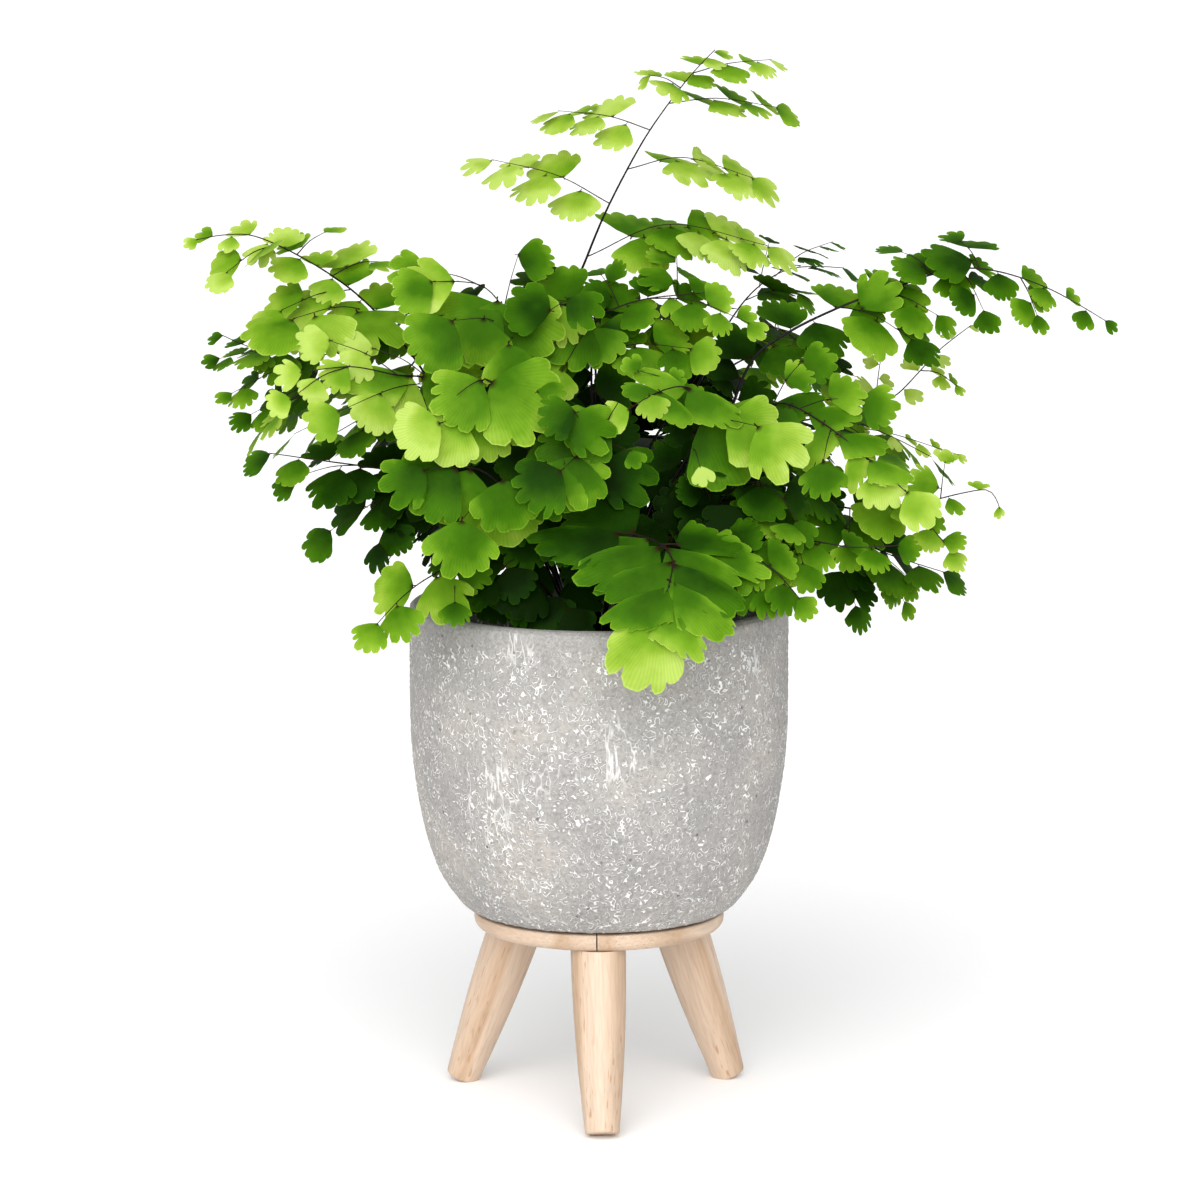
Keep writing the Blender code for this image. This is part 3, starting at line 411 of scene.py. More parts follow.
def pine(name, seed):
    """Pale pine under thin lacquer: soft cream rings, darker late wood, short brown resin dashes."""
    material, tree, shader = new_material(name)
    along = add(tree, "ShaderNodeAttribute", output=1, attribute_name="grain")
    shifted = add(tree, "ShaderNodeVectorMath", {0: along, 1: (seed * 0.37, seed * 0.11, seed * 0.23)},
                  operation="ADD")
    drawn = add(tree, "ShaderNodeVectorMath", {0: shifted, 1: (1, 1, 0.07)}, operation="MULTIPLY")
    sway = add(tree, "ShaderNodeTexNoise", {"Vector": drawn, "Scale": 1000 / 9, "Detail": 2.0}, output=1)
    swayed = add(tree, "ShaderNodeVectorMath", {0: sway, "Scale": 0.003}, operation="SCALE")
    bent = add(tree, "ShaderNodeVectorMath", {0: drawn, 1: swayed}, operation="ADD")
    scale = 1000 / GRAIN_SPACING * math.tau / 20   # the wave goes through 20 radians to its unit
    rings = add(tree, "ShaderNodeTexWave", {"Vector": bent, "Scale": scale, "Distortion": 1.2, "Detail": 2.0},
                output=1, wave_type="BANDS", bands_direction="X", wave_profile="SAW")
    body = add(tree, "ShaderNodeValToRGB", {0: rings},
               stops=[(0.0, "#C7B09A"), (0.55, "#C3AA93"), (0.88, "#B3967A"), (1.0, "#C4AC95")])
    mottle = add(tree, "ShaderNodeTexNoise",
                 {"Vector": drawn, "Scale": 1000 / 6, "Detail": 4.0, "Roughness": 0.65})
    tint = add(tree, "ShaderNodeMapRange", {"Value": mottle, 1: 0.3, 2: 0.7, 3: 0.9, 4: 1.07})
    threads = add(tree, "ShaderNodeTexNoise", {"Vector": drawn, "Scale": 1000 / 1.1, "Detail": 3.0})
    thread = add(tree, "ShaderNodeMapRange", {"Value": threads, 1: 0.35, 2: 0.6, 3: 0.9, 4: 1.04})
    both = add(tree, "ShaderNodeMath", {0: tint, 1: thread}, operation="MULTIPLY")
    toned = add(tree, "ShaderNodeVectorMath", {0: body, "Scale": both}, operation="SCALE")
    dash_place = add(tree, "ShaderNodeVectorMath", {0: shifted, 1: (1, 1, 0.11)}, operation="MULTIPLY")
    dashes = add(tree, "ShaderNodeTexNoise", {"Vector": dash_place, "Scale": 1000 / 0.8, "Detail": 0.0})
    where = add(tree, "ShaderNodeTexNoise", {"Vector": drawn, "Scale": 1000 / 7, "Detail": 1.0})
    few = add(tree, "ShaderNodeMapRange", {"Value": where, 1: 0.5, 2: 0.62, 3: 0.0, 4: 1.0})
    dash = add(tree, "ShaderNodeMapRange", {"Value": dashes, 1: 0.67, 2: 0.76, 3: 0.0, 4: 0.6})
    marked = add(tree, "ShaderNodeMath", {0: dash, 1: few}, operation="MULTIPLY")
    final = add(tree, "ShaderNodeMix", {0: marked, 6: toned, 7: linear("#9A6B3C")}, 2, data_type="RGBA")
    grain = add(tree, "ShaderNodeMath", {0: rings, 1: marked}, operation="SUBTRACT")
    bump = add(tree, "ShaderNodeBump", {"Height": grain, "Strength": 0.25, "Distance": 0.0002})
    feed(tree, shader, {"Base Color": final, "Roughness": 0.48, "IOR": 1.5, "Normal": bump})
    return material


def finish_wood(name, bm, to_wood, node, seed):
    """Cleans a wooden piece's mesh, lays its grain along Z of its plank and puts it in for its CAD node."""
    bmesh.ops.remove_doubles(bm, verts=bm.verts, dist=0.02 * MM)
    bmesh.ops.recalc_face_normals(bm, faces=bm.faces)
    mesh = mesh_from(name, bm)
    mesh.shade_smooth()
    mesh.set_sharp_from_angle(angle=math.radians(40))
    grain = mesh.attributes.new("grain", "FLOAT_VECTOR", "POINT")
    for index, vert in enumerate(mesh.vertices):
        grain.data[index].vector = to_wood(vert.co)
    piece = show(name, mesh, pine(f"lacquered_pine_{seed}", seed))
    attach(piece, "root")
    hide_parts(node)


low = RING_TOP - RING_THICKNESS
section = [(RING_INSIDE, RING_TOP - 0.8), (RING_INSIDE, low + 0.8), (RING_INSIDE + 0.8, low)]
soft = RING_OUTSIDE - RING_SOFT
section += [(soft + RING_SOFT * math.sin(turn), low + RING_SOFT - RING_SOFT * math.cos(turn))
            for turn in [math.radians(18 * step) for step in range(6)]]
section += [(RING_OUTSIDE - 0.7 + 0.7 * math.cos(turn), RING_TOP - 0.7 + 0.7 * math.sin(turn))
            for turn in [math.radians(30 * step) for step in range(4)]]
section += [(RING_INSIDE + 0.8, RING_TOP)]
for number, azimuth in enumerate(JOINT_AZIMUTHS):
    bm = bmesh.new()
    start = math.radians(azimuth) + JOINT_GAP / RING_INSIDE / 2
    sweep = math.radians(120) - JOINT_GAP / RING_INSIDE
    turn = Matrix.Rotation(start, 3, "Z")
    corners = [bm.verts.new(turn @ Vector((radius, 0, height)) * MM + AXIS) for radius, height in section]
    face = bm.faces.new(corners)
    bmesh.ops.spin(bm, geom=[face, *face.edges, *face.verts], cent=AXIS, axis=(0, 0, 1), angle=sweep,
                   steps=ARC_STEPS)
    plank = Matrix(((1, 0, 0), (0, 0, 1), (0, 1, 0))) @ Matrix.Rotation(-(start + sweep / 2), 3, "Z")
    finish_wood(f"pine_arc_{number + 1}", bm, lambda place: plank @ (place - AXIS),
                f"ring_arc_{number + 1}", 11 + number)


def on_circle(azimuth, radius):
    """The point at an azimuth in degrees on a circle round the axis."""
    angle = math.radians(azimuth)
    return Vector((math.cos(angle) * radius, math.sin(angle) * radius, 0))


leg_top = low - 0.05
upright = Vector((0, 0, 1))
for number in range(3):
    top = on_circle(LEG_TOP_AZIMUTHS[number], LEG_TOP_PLACE) + upright * leg_top
    foot = on_circle(LEG_FOOT_AZIMUTHS[number], LEG_FOOT_PLACE)
    length = (top - foot).length
    foot_rise = LEG_FOOT_RADIUS * math.sin(upright.angle(top - foot)) - FOOT_FACET
    profile = []
    for row in range(LEG_ROWS + 1):
        share = row / LEG_ROWS
        radius = LEG_TOP_RADIUS + (LEG_FOOT_RADIUS - LEG_TOP_RADIUS) * share
        radius += LEG_BULGE * math.sin(math.pi * share)
        profile.append((radius, (length + 12) * (1 - share) + 0.9 * share))
    profile += [(LEG_FOOT_RADIUS - 0.9 + 0.9 * math.cos(turn), 0.9 - 0.9 * math.sin(turn))
                for turn in (math.radians(30), math.radians(60), math.radians(90))]
    bm = bmesh.new()
    bm.from_mesh(turned(f"leg_blank_{number}", profile, LEG_SIDES))
    lean = upright.rotation_difference(top - foot).to_matrix().to_4x4()
    stand_up = Matrix.Translation(AXIS + (foot + upright * foot_rise) * MM) @ lean @ Matrix.Translation(-AXIS)
    bmesh.ops.transform(bm, matrix=stand_up, verts=bm.verts)
    for cut_at, side in ((leg_top * MM, 1), (0, -1)):
        kept = bmesh.ops.bisect_plane(bm, geom=[*bm.verts, *bm.edges, *bm.faces], plane_co=(0, 0, cut_at),
                                      plane_no=(0, 0, side), clear_outer=True)
        rim = [part for part in kept["geom_cut"] if isinstance(part, bmesh.types.BMEdge)]
        bmesh.ops.contextual_create(bm, geom=rim)
    back = stand_up.inverted()
    finish_wood(f"pine_leg_{number + 1}", bm, lambda place: back @ place - AXIS,
                f"leg_{number + 1}", 21 + number)


# ---------------------------------------------------------------- screws
# Six countersunk wood screws, zinc plated, driven down through the arcs into the legs. The pot hides them.

def zinc():
    """Bright zinc plate on steel: a cool, slightly brushed metal."""
    material, tree, shader = new_material("zinc_plate")
    place = add(tree, "ShaderNodeTexCoord", output=3)
    rub = add(tree, "ShaderNodeTexNoise", {"Vector": place, "Scale": 1000 / 0.8, "Detail": 3.0})
    colour = add(tree, "ShaderNodeValToRGB", {0: rub}, stops=[(0.3, "#B9BCC2"), (0.7, "#DADCE0")])
    rough = add(tree, "ShaderNodeMapRange", {"Value": rub, 3: 0.25, 4: 0.45})
    feed(tree, shader, {"Base Color": colour, "Roughness": rough, "Metallic": 1.0})
    return material


zinc_plate = zinc()
for number in range(1, 7):
    screw = frame["nodes"][f"screw_{number}"]
    screw.data.materials.clear()
    screw.data.materials.append(zinc_plate)


# ---------------------------------------------------------------- fronds
# Each frond is a wiry, near-black stalk with thin twigs, and on them thin fan-shaped leaflets with lobed
# edges. Young leaflets are yellow-green, old ones dark, and those deep in the plant are painted darker as
# shade.
# A frond stands for its own CAD node.

ROOTSTOCK_TOP = 205
CLEARANCE = 0.5                # kept between fronds, as in the CAD model
ROOT_RINGS = (6, 12, 18, 24)
ROOT_SPACING = 4.4
FOOT_GAP = 0.8
TWIG_ROOM = 0.42               # radius of a twig in the CAD model, for the clearances
LEAFLET_ROOM = 0.8             # thickness of a leaflet there
LARGE_LEAFLET = 28
LAP, LONG_LAP = 0.22, 0.4
LEAFLET_ROOT = 1.5
STALK_TIP = 0.2
TWIG_RADIUS, TWIG_TIP = 0.3, 0.14
SHADED_HEART = Vector((0, 10, 270))   # the oldest leaflets are near here, and they are painted darker still as the shade deep in the plant
HEART_RADIUS, HEART_FADE = 45, 85   # from the first on, leaflets are paler and the painted shade fades, over the second
YOUNG_TONE, GROWN_LENGTH = 0.14, 22   # a tip is this much paler, and a leaflet shorter than grown in part
PATCH_SPACING = 34             # of the lighter and darker patches over the whole plant
SMALL_LEAFLET = 11             # shorter ones have the simpler, wedge-shaped blade
INNER_SPACING, INNER_SIZE = 8, 22   # of the leaflets deep inside the plant, painted dark for the shade there
INNER_SHAPE = Vector((1 / 105, 1 / 90, 1 / 62))   # they lie within this oblong round the heart
INNER_SHADE_TONES = (0.02, 0.2)
INNER_SEED = 500
# Leaflet outlines for a length of 1: the base, then round the blade. A long one leans to one hand.
FAN = [(0, 0), (0.66, -0.6), (1, 0), (0.66, 0.6)]
LONG = [(0, 0), (0.6, -0.14), (1, 0), (0.45, 0.38)]

# Each frond: name, stalk radius, tone (0 old and dark, 1 young), how far its leaflets turn to the
# front, droop, leaflet kind, leaflets along the stalk's end (count, length, first at this share of the
# stalk), the points the stalk runs through, and its twigs: (share of the stalk, reach, arch, count, length).
FRONDS = [
    ("frond_top", 1.1, 0.85, 0.45, 0.35, "fan", (5, 13, 0.93),
     [(-22, 8, 266), (-25, 14, 317), (-21, 15, 336), (-7, 15, 367), (3, 15, 391), (20, 15, 423),
      (38, 14, 448), (50, 12, 461)],
     [(0.71, (-51, -11, 20), 5, 6, 24), (0.84, (-40, 5, 8), 3, 6, 20), (0.77, (54, -9, -3), 9, 7, 23),
      (0.89, (47, 5, -2), 4, 6, 20), (0.95, (34, -2, 6), 2, 5, 16), (0.92, (-14, -4, 6), 2, 3, 15),
      (0.62, (78, -23, 7), 16, 11, 24)]),
    ("frond_mid_arch", 1.0, 0.75, 0.75, 0.6, "fan", (8, 21, 0.66),
     [(0, -12, 269), (-3, -22, 313), (-2, -28, 346), (6, -28, 353), (22, -30, 358), (49, -34, 361)],
     [(0.73, (-21, -12, 11), 4, 4, 27), (0.65, (42, -23, 6), 5, 5, 21), (0.86, (42, -15, -9), 5, 6, 17),
      (0.75, (-17, -22, -22), 3, 3, 22), (0.79, (-8, 13, 13), 2, 3, 18), (0.92, (0, 22, 15), 2, 4, 20)]),
    ("frond_left_upper", 1.0, 0.72, 0.75, 0.5, "fan", (13, 21, 0.62),
     [(-45, 0, 262), (-69, 6, 310), (-88, 8, 338), (-112, 3, 362), (-148, -4, 382), (-173, -10, 381)],
     [(0.75, (26, 11, 5), 4, 3, 20), (0.82, (12, 10, 9), 2, 2, 16), (0.65, (-34, -32, 1), 5, 4, 30),
      (0.71, (-29, -18, -7), 3, 3, 27), (0.86, (-20, -18, -10), 3, 3, 21)]),
    ("frond_left_small", 0.8, 0.25, 0.6, 0.7, "fan", (7, 17, 0.7),
     [(-52, 18, 273), (-87, 28, 311), (-118, 34, 328), (-145, 36, 327), (-166, 36, 335)],
     [(0.82, (-38, -5, -3), 3, 6, 17), (0.76, (-45, -10, -17), 4, 6, 17), (0.69, (-50, -12, -20), 4, 6, 19)]),
    ("frond_left_bright", 0.9, 0.85, 0.75, 0.55, "fan", (7, 21, 0.66),
     [(-34, -14, 269), (-55, -30, 306), (-66, -38, 323), (-86, -46, 327), (-105, -50, 331), (-126, -54, 329)],
     [(0.68, (-44, -24, -9), 5, 4, 27), (0.79, (-29, 6, 14), 3, 3, 18), (0.9, (-24, -8, -13), 3, 4, 14),
      (0.72, (-24, 7, 12), 3, 3, 17)]),
    ("frond_left_low", 0.9, 0.15, 0.6, 0.6, "fan", (6, 25, 0.6),
     [(-43, -10, 249), (-68, -22, 279), (-90, -28, 284), (-115, -32, 288), (-141, -34, 292)],
     [(0.56, (-45, -8, -22), 4, 3, 27), (0.62, (-15, -11, -30), 4, 3, 21), (0.77, (-26, 0, -5), 2, 2, 20)]),
    ("frond_left_drop", 0.7, 0.6, 0.75, 0.5, "fan", (4, 22, 0.72),
     [(-43, -24, 231), (-58, -50, 246), (-70, -70, 245), (-82, -82, 238), (-93, -88, 227)],
     [(0.61, (1, -27, -11), 2, 2, 18)]),
    ("frond_crown_left", 1.0, 0.46, 0.75, 0.7, "fan", (5, 26, 0.72),
     [(-19, -14, 269), (-29, -34, 315), (-38, -46, 350), (-50, -54, 366), (-70, -60, 368)],
     [(0.76, (-24, -26, 7), 4, 4, 29), (0.71, (21, -19, 24), 5, 4, 29), (0.81, (6, 18, 22), 2, 3, 23),
      (0.74, (-2, -31, 1), 2, 3, 26), (0.89, (-24, 24, 4), 2, 2, 22)]),
    ("frond_front_left", 1.0, 0.82, 0.75, 0.8, "fan", (5, 27, 0.72),
     [(-18, -30, 245), (-27, -58, 288), (-35, -76, 316), (-47, -86, 330), (-59, -92, 324)],
     [(0.65, (16, -28, 16), 4, 3, 34), (0.78, (-31, -18, -3), 4, 4, 29), (0.75, (8, -11, 13), 2, 2, 24)]),
    ("frond_front_low_left", 0.9, 0.64, 0.75, 0.8, "fan", (4, 31, 0.74),
     [(-21, -36, 240), (-33, -66, 272), (-50, -86, 292), (-72, -94, 293)],
     [(0.67, (23, -20, 18), 4, 3, 29), (0.73, (-16, -23, -11), 3, 3, 27), (0.7, (-1, -23, 8), 2, 2, 30)]),
    ("frond_front_centre", 0.9, 0.4, 0.75, 0.8, "fan", (3, 26, 0.78),
     [(0, -38, 246), (0, -66, 285), (2, -84, 308), (8, -92, 321)],
     [(0.72, (-10, -24, 27), 3, 3, 25), (0.8, (13, -21, 2), 3, 3, 26), (0.85, (-17, -17, -11), 2, 2, 24)]),
    ("frond_front_spray", 0.9, 0.85, 0.75, 0.55, "long", (7, 25, 0.72),
     [(18, -28, 254), (39, -52, 296), (43, -62, 318), (34, -70, 325), (21, -80, 322), (12, -86, 317)],
     [(0.67, (24, -24, 4), 4, 5, 30), (0.61, (3, -40, -3), 3, 3, 26), (0.76, (-26, -3, 12), 3, 3, 21)]),
    ("frond_right_spray", 0.9, 0.5, 0.75, 0.6, "fan", (9, 26, 0.56),
     [(27, -16, 264), (55, -34, 302), (73, -44, 314), (85, -50, 313), (104, -58, 301), (130, -62, 279)],
     [(0.61, (5, -27, -5), 2, 3, 21), (0.72, (27, 6, 3), 3, 4, 22), (0.8, (-4, -16, -12), 2, 2, 24),
      (0.66, (13, 14, 17), 3, 4, 17)]),
    ("frond_right_long", 1.1, 0.26, 0.75, 0.4, "fan", (17, 23, 0.44),
     [(40, 2, 267), (58, 5, 308), (70, 8, 331), (103, 12, 349), (131, 14, 359), (154, 14, 366),
      (174, 12, 365), (197, 10, 357), (220, 6, 344)],
     [(0.59, (30, -18, -12), 4, 4, 26), (0.65, (25, -11, -9), 3, 3, 19), (0.73, (-13, 10, 9), 3, 3, 20),
      (0.77, (10, -14, -17), 3, 3, 17), (0.8, (-8, 11, 11), 3, 3, 22), (0.86, (7, -7, -16), 2, 3, 15)]),
    ("frond_right_airy", 0.7, 0.9, 0.6, 0.5, "fan", (6, 11, 0.76),
     [(44, 22, 264), (89, 36, 291), (115, 42, 300), (132, 44, 308), (149, 46, 326), (164, 46, 338)],
     [(0.74, (3, 2, 24), 3, 4, 12), (0.86, (16, -8, -6), 3, 4, 10), (0.6, (64, -10, -10), 6, 9, 11)]),
    ("frond_right_low", 0.8, 0.6, 0.75, 0.6, "fan", (8, 16, 0.5),
     [(54, -8, 256), (74, -12, 266), (100, -18, 267), (121, -22, 265), (143, -24, 270), (166, -26, 275),
      (172, -28, 267)],
     [(0.76, (19, -11, -18), 3, 4, 15), (0.66, (15, -20, 6), 3, 3, 22), (0.6, (-9, -2, 16), 3, 4, 16),
      (0.63, (-1, -24, -12), 2, 3, 22), (0.84, (2, 2, 16), 2, 2, 15)]),
    ("frond_right_dark", 0.9, 0.1, 0.6, 0.5, "fan", (5, 24, 0.68),
     [(53, 10, 241), (84, 18, 251), (110, 24, 246), (130, 26, 238), (152, 26, 231)],
     [(0.64, (13, -11, -31), 4, 4, 22), (0.73, (23, -6, -15), 3, 3, 22), (0.78, (15, 0, -25), 3, 3, 18)]),
    ("frond_right_mid", 0.8, 0.45, 0.75, 0.6, "fan", (7, 21, 0.5),
     [(43, -26, 242), (67, -42, 253), (90, -54, 257), (106, -58, 255), (127, -60, 256)],
     [(0.68, (3, -20, -6), 2, 3, 22), (0.56, (2, -8, 21), 3, 4, 25), (0.63, (4, -17, 12), 2, 3, 22)]),
    ("frond_front_fall", 0.9, 0.55, 0.75, 0.12, "long", (10, 41, 0.79),
     [(3, -46, 230), (5, -66, 251), (13, -80, 263), (24, -90, 262), (30.5, -97, 256), (29, -104, 246),
      (25.5, -110, 234)],
     [(0.67, (-12, -3, 2), 1, 3, 40), (0.74, (20, 3, -4), 2, 3, 34)]),
    ("frond_front_right", 0.9, 0.3, 0.75, 0.35, "fan", (7, 26, 0.55),
     [(39, -44, 234), (49, -66, 252), (61, -80, 256), (74, -88, 249), (84, -90, 238)],
     [(0.72, (10, -15, -14), 2, 3, 24)]),
    ("frond_low_left", 0.7, 0.1, 0.75, 0.7, "fan", (4, 22, 0.7),
     [(-17, -40, 227), (-27, -54, 242), (-36, -60, 250), (-45, -64, 242)],
     [(0.53, (-13, -18, -4), 1, 2, 19), (0.48, (7, -20, -1), 1, 2, 24)]),
    ("frond_low_right", 0.7, 0.2, 0.75, 0.7, "fan", (6, 26, 0.56),
     [(31, -30, 236), (52, -44, 273), (64, -54, 282), (74, -60, 280), (84, -62, 267)],
     [(0.74, (4, -18, -12), 2, 3, 26), (0.6, (-4, -8, 12), 2, 3, 20)]),
    ("frond_back_right", 1.0, 0.15, 0.3, 0.5, "fan", (7, 24, 0.62),
     [(18, 34, 275), (45, 50, 318), (65, 60, 348), (85, 66, 361), (109, 70, 361)],
     [(0.85, (26, 6, 15), 4, 5, 14), (0.77, (24, -10, 5), 3, 4, 23), (0.81, (5, 10, 20), 2, 3, 15)]),
]

# Fronds that arch out evenly round the back and sides: azimuth, reach and height of the arch
BACK_ARCHES = [(8, 150, 300), (25, 115, 338), (42, 148, 322), (60, 120, 290), (75, 140, 342), (92, 110, 350),
               (105, 150, 305), (125, 120, 340), (140, 160, 300), (158, 120, 345), (172, 150, 318)]
# Short fronds low over the rim that close the middle of the plant
LOW_ARCHES = [(20, 80, 262), (70, 78, 255), (95, 62, 246), (120, 80, 262), (170, 84, 258), (215, 74, 262),
              (255, 62, 274), (310, 70, 258)]
ASIDE_STEP = 0.6               # a line that meets another is pushed aside by this much more at each try
GOLDEN_TURN = 2.4
FITS = ((0, 0, 1), (14, 0, 1), (-14, 0, 1), (0, 20, 1), (0, -20, 1), (28, 10, 0.9), (-28, -10, 0.9),
        (0, 38, 0.85), (0, -38, 0.85), (40, 0, 0.8), (-40, 0, 0.8))   # pitch, roll and scale tried in turn


def arching_frond(name, azimuth, reach, height, twigs, length, tone):
    """A frond of even growth: it rises, bows over and carries its twigs left and right in turn."""
    angle = math.radians(azimuth)
    out = Vector((math.cos(angle), math.sin(angle), 0))
    side = Vector((-out.y, out.x, 0))
    rise = height - ROOTSTOCK_TOP
    stalk = [out * (12 + reach * along) + Vector((0, 0, ROOTSTOCK_TOP + rise * up))
             for along, up in ((0.14, 0.5), (0.38, 0.92), (0.64, 1.0), (0.9, 0.82))]
    reaches = []
    for count in range(twigs):
        share = 0.48 + 0.44 * count / twigs
        hand = 1 if count % 2 else -1
        span = reach * 0.42 * (1.25 - 0.7 * share)
        bend = side * hand * 0.85 + out * 0.5 - Vector((0, 0, 0.1 + 0.04 * count))
        reaches.append((share, bend * span, 6, 4 if count < 2 else 3, length))
    return (name, 0.9, tone, 0, 0.6, "fan", (5, length, 0.64), stalk, reaches)


def all_fronds():
    """The fronds listed one by one, then the even ones."""
    fronds = list(FRONDS)
    for number, arch in enumerate(BACK_ARCHES, 1):
        fronds.append(arching_frond(f"frond_back_{number:02d}", *arch, 4, 26, 0.3 + 0.1 * (number % 3)))
    for number, arch in enumerate(LOW_ARCHES, 1):
        fronds.append(arching_frond(f"frond_low_{number:02d}", *arch, 3, 22, 0.15))
    return fronds


def at_share(line, share):
    """The point and the direction at a share of a line's length."""
    steps = [(b - a).length for a, b in zip(line, line[1:])]
    left = share * sum(steps)
    for start, end, step in zip(line, line[1:], steps):
        if left <= step or end is line[-1]:
            return start.lerp(end, min(1, left / step)), (end - start).normalized()
        left -= step


def shifted(line, shift, ease):
    """The line pushed aside by a vector, by an easing of its share."""
    last = len(line) - 1
    return [point + shift * ease(index / last) for index, point in enumerate(line)]


def twig_line(start, reach, arch):
    """A twig that leaves the stalk and bows up a little on its way."""
    reach = Vector(reach)
    return [start + reach * share + Vector((0, 0, 3 * arch * share * (1 - share)))
            for share in (0, 0.45, 1)]


def sleeve(line, radius, sides=5):
    """Corners and faces of an open tube round a line."""
    corners, faces = [], []
    for index, point in enumerate(line):
        along = (line[min(index + 1, len(line) - 1)] - line[max(index - 1, 0)]).normalized()
        across = along.orthogonal().normalized()
        other = along.cross(across)
        for side in range(sides):
            turn = 2 * math.pi * side / sides
            corners.append(point + (across * math.cos(turn) + other * math.sin(turn)) * radius / 0.8)
    for ring in range(len(line) - 1):
        for side in range(sides):
            a, b = ring * sides + side, ring * sides + (side + 1) % sides
            faces += [(a, b, b + sides), (a, b + sides, a + sides)]
    return corners, faces


def outline(kind, hand):
    """The leaflet's corners for a length of 1, anticlockwise from its base."""
    shape = FAN if kind == "fan" else LONG
    if hand > 0:
        return shape
    return [shape[0]] + [(x, -y) for x, y in reversed(shape[1:])]


def plate(leaflet, start, margin):
    """Corners and faces of a flat plate that stands for a leaflet, from a share of its length on."""
    base, axis, normal, length, kind, hand = leaflet
    across = normal.cross(axis)
    half = LEAFLET_ROOM / 2 + margin
    rim = [(max(x, start) * length + (margin if x > 0.5 else 0), y * length * (1 + margin / 12))
           for x, y in outline(kind, hand)]
    flat = [base + axis * x + across * y for x, y in rim]
    corners = [point + normal * half for point in flat] + [point - normal * half for point in flat]
    count = len(flat)
    faces = [tuple(range(count)), tuple(range(2 * count - 1, count - 1, -1))]
    for side in range(count):
        after = (side + 1) % count
        faces.append((side, side + count, after + count, after))
    return corners, faces


def box_round(corners):
    """The lowest and the highest corner of the box round a shape."""
    return [Vector([pick(corner[axis] for corner in corners) for axis in range(3)]) for pick in (min, max)]


class Neighbours:
    """What a new stalk, twig or leaflet has to stay clear of."""

    def __init__(self):
        self.trees = []

    def add(self, owner, corners, faces):
        self.trees.append((owner, *box_round(corners), BVHTree.FromPolygons(corners, faces)))

    def touched(self, corners, faces, counts):
        """Whether a shape meets any neighbour whose owner counts."""
        low, high = box_round(corners)
        own = None
        for owner, other_low, other_high, tree in self.trees:
            apart = any(low[axis] > other_high[axis] or high[axis] < other_low[axis] for axis in range(3))
            if apart or not counts(owner):
                continue
            own = own or BVHTree.FromPolygons(corners, faces)
            if own.overlap(tree):
                return True
        return False


def aside():
    """Vectors to push a line aside by, each longer than the last and turned by the golden angle."""
    yield Vector((0, 0, 0))
    for step in range(1, 40):
        turn = step * GOLDEN_TURN
        yield Vector((math.cos(turn), math.sin(turn), 0.4 * math.sin(turn * 2))) * (ASIDE_STEP * step)


def place_root(roots, points):
    """A free place on the rootstock for a stalk's foot: low fronds start near its edge, steep ones inside."""
    first = Vector(points[0])
    heading = math.atan2(points[1][1], points[1][0])
    steepness = (first.z - ROOTSTOCK_TOP) / math.hypot(first.x, first.y)
    ring = sum(steepness < limit for limit in (2.6, 1.7, 1))
    for step in range(60):
        turn = heading + (step + 1) // 2 * (0.1 if step % 2 else -0.1)
        for near in (ring, min(ring + 1, 3), max(ring - 1, 0)):
            radius = ROOT_RINGS[near]
            root = Vector((math.cos(turn) * radius, math.sin(turn) * radius, ROOTSTOCK_TOP + FOOT_GAP))
            if all((root - other).length > ROOT_SPACING for other in roots):
                roots.append(root)
                return root
    raise ValueError("no room on the rootstock")


def lay_lines(fronds, neighbours):
    """Every frond's stalk and twig lines, each clear of the other fronds."""
    roots, laid = [], {}
    for name, radius, _, _, _, _, _, points, _ in fronds:
        root = place_root(roots, points)
        line = smooth_line([root, root + Vector((0, 0, 8)), *points])
        for shift in aside():
            stalk = shifted(line, shift, lambda share: math.sin(math.pi * share))
            if not neighbours.touched(*sleeve(stalk, radius + CLEARANCE), lambda owner: True):
                break
        else:
            raise ValueError(f"{name} finds no way out of the crown")
        laid[name] = (stalk, [])
        neighbours.add(name, *sleeve(stalk, radius))
    for name, radius, _, _, _, _, _, _, twigs in fronds:
        stalk, lines = laid[name]
        for share, reach, arch, count, length in twigs:
            line = twig_line(at_share(stalk, share)[0], reach, arch)
            for shift in aside():
                twig = shifted(line, shift, lambda part: math.sin(math.pi / 2 * part))
                room = sleeve(twig, TWIG_ROOM + CLEARANCE)
                if not neighbours.touched(*room, lambda owner: owner != name):
                    lines.append((twig, count, length))
                    neighbours.add(name, *sleeve(twig, TWIG_ROOM))
                    break
    return laid


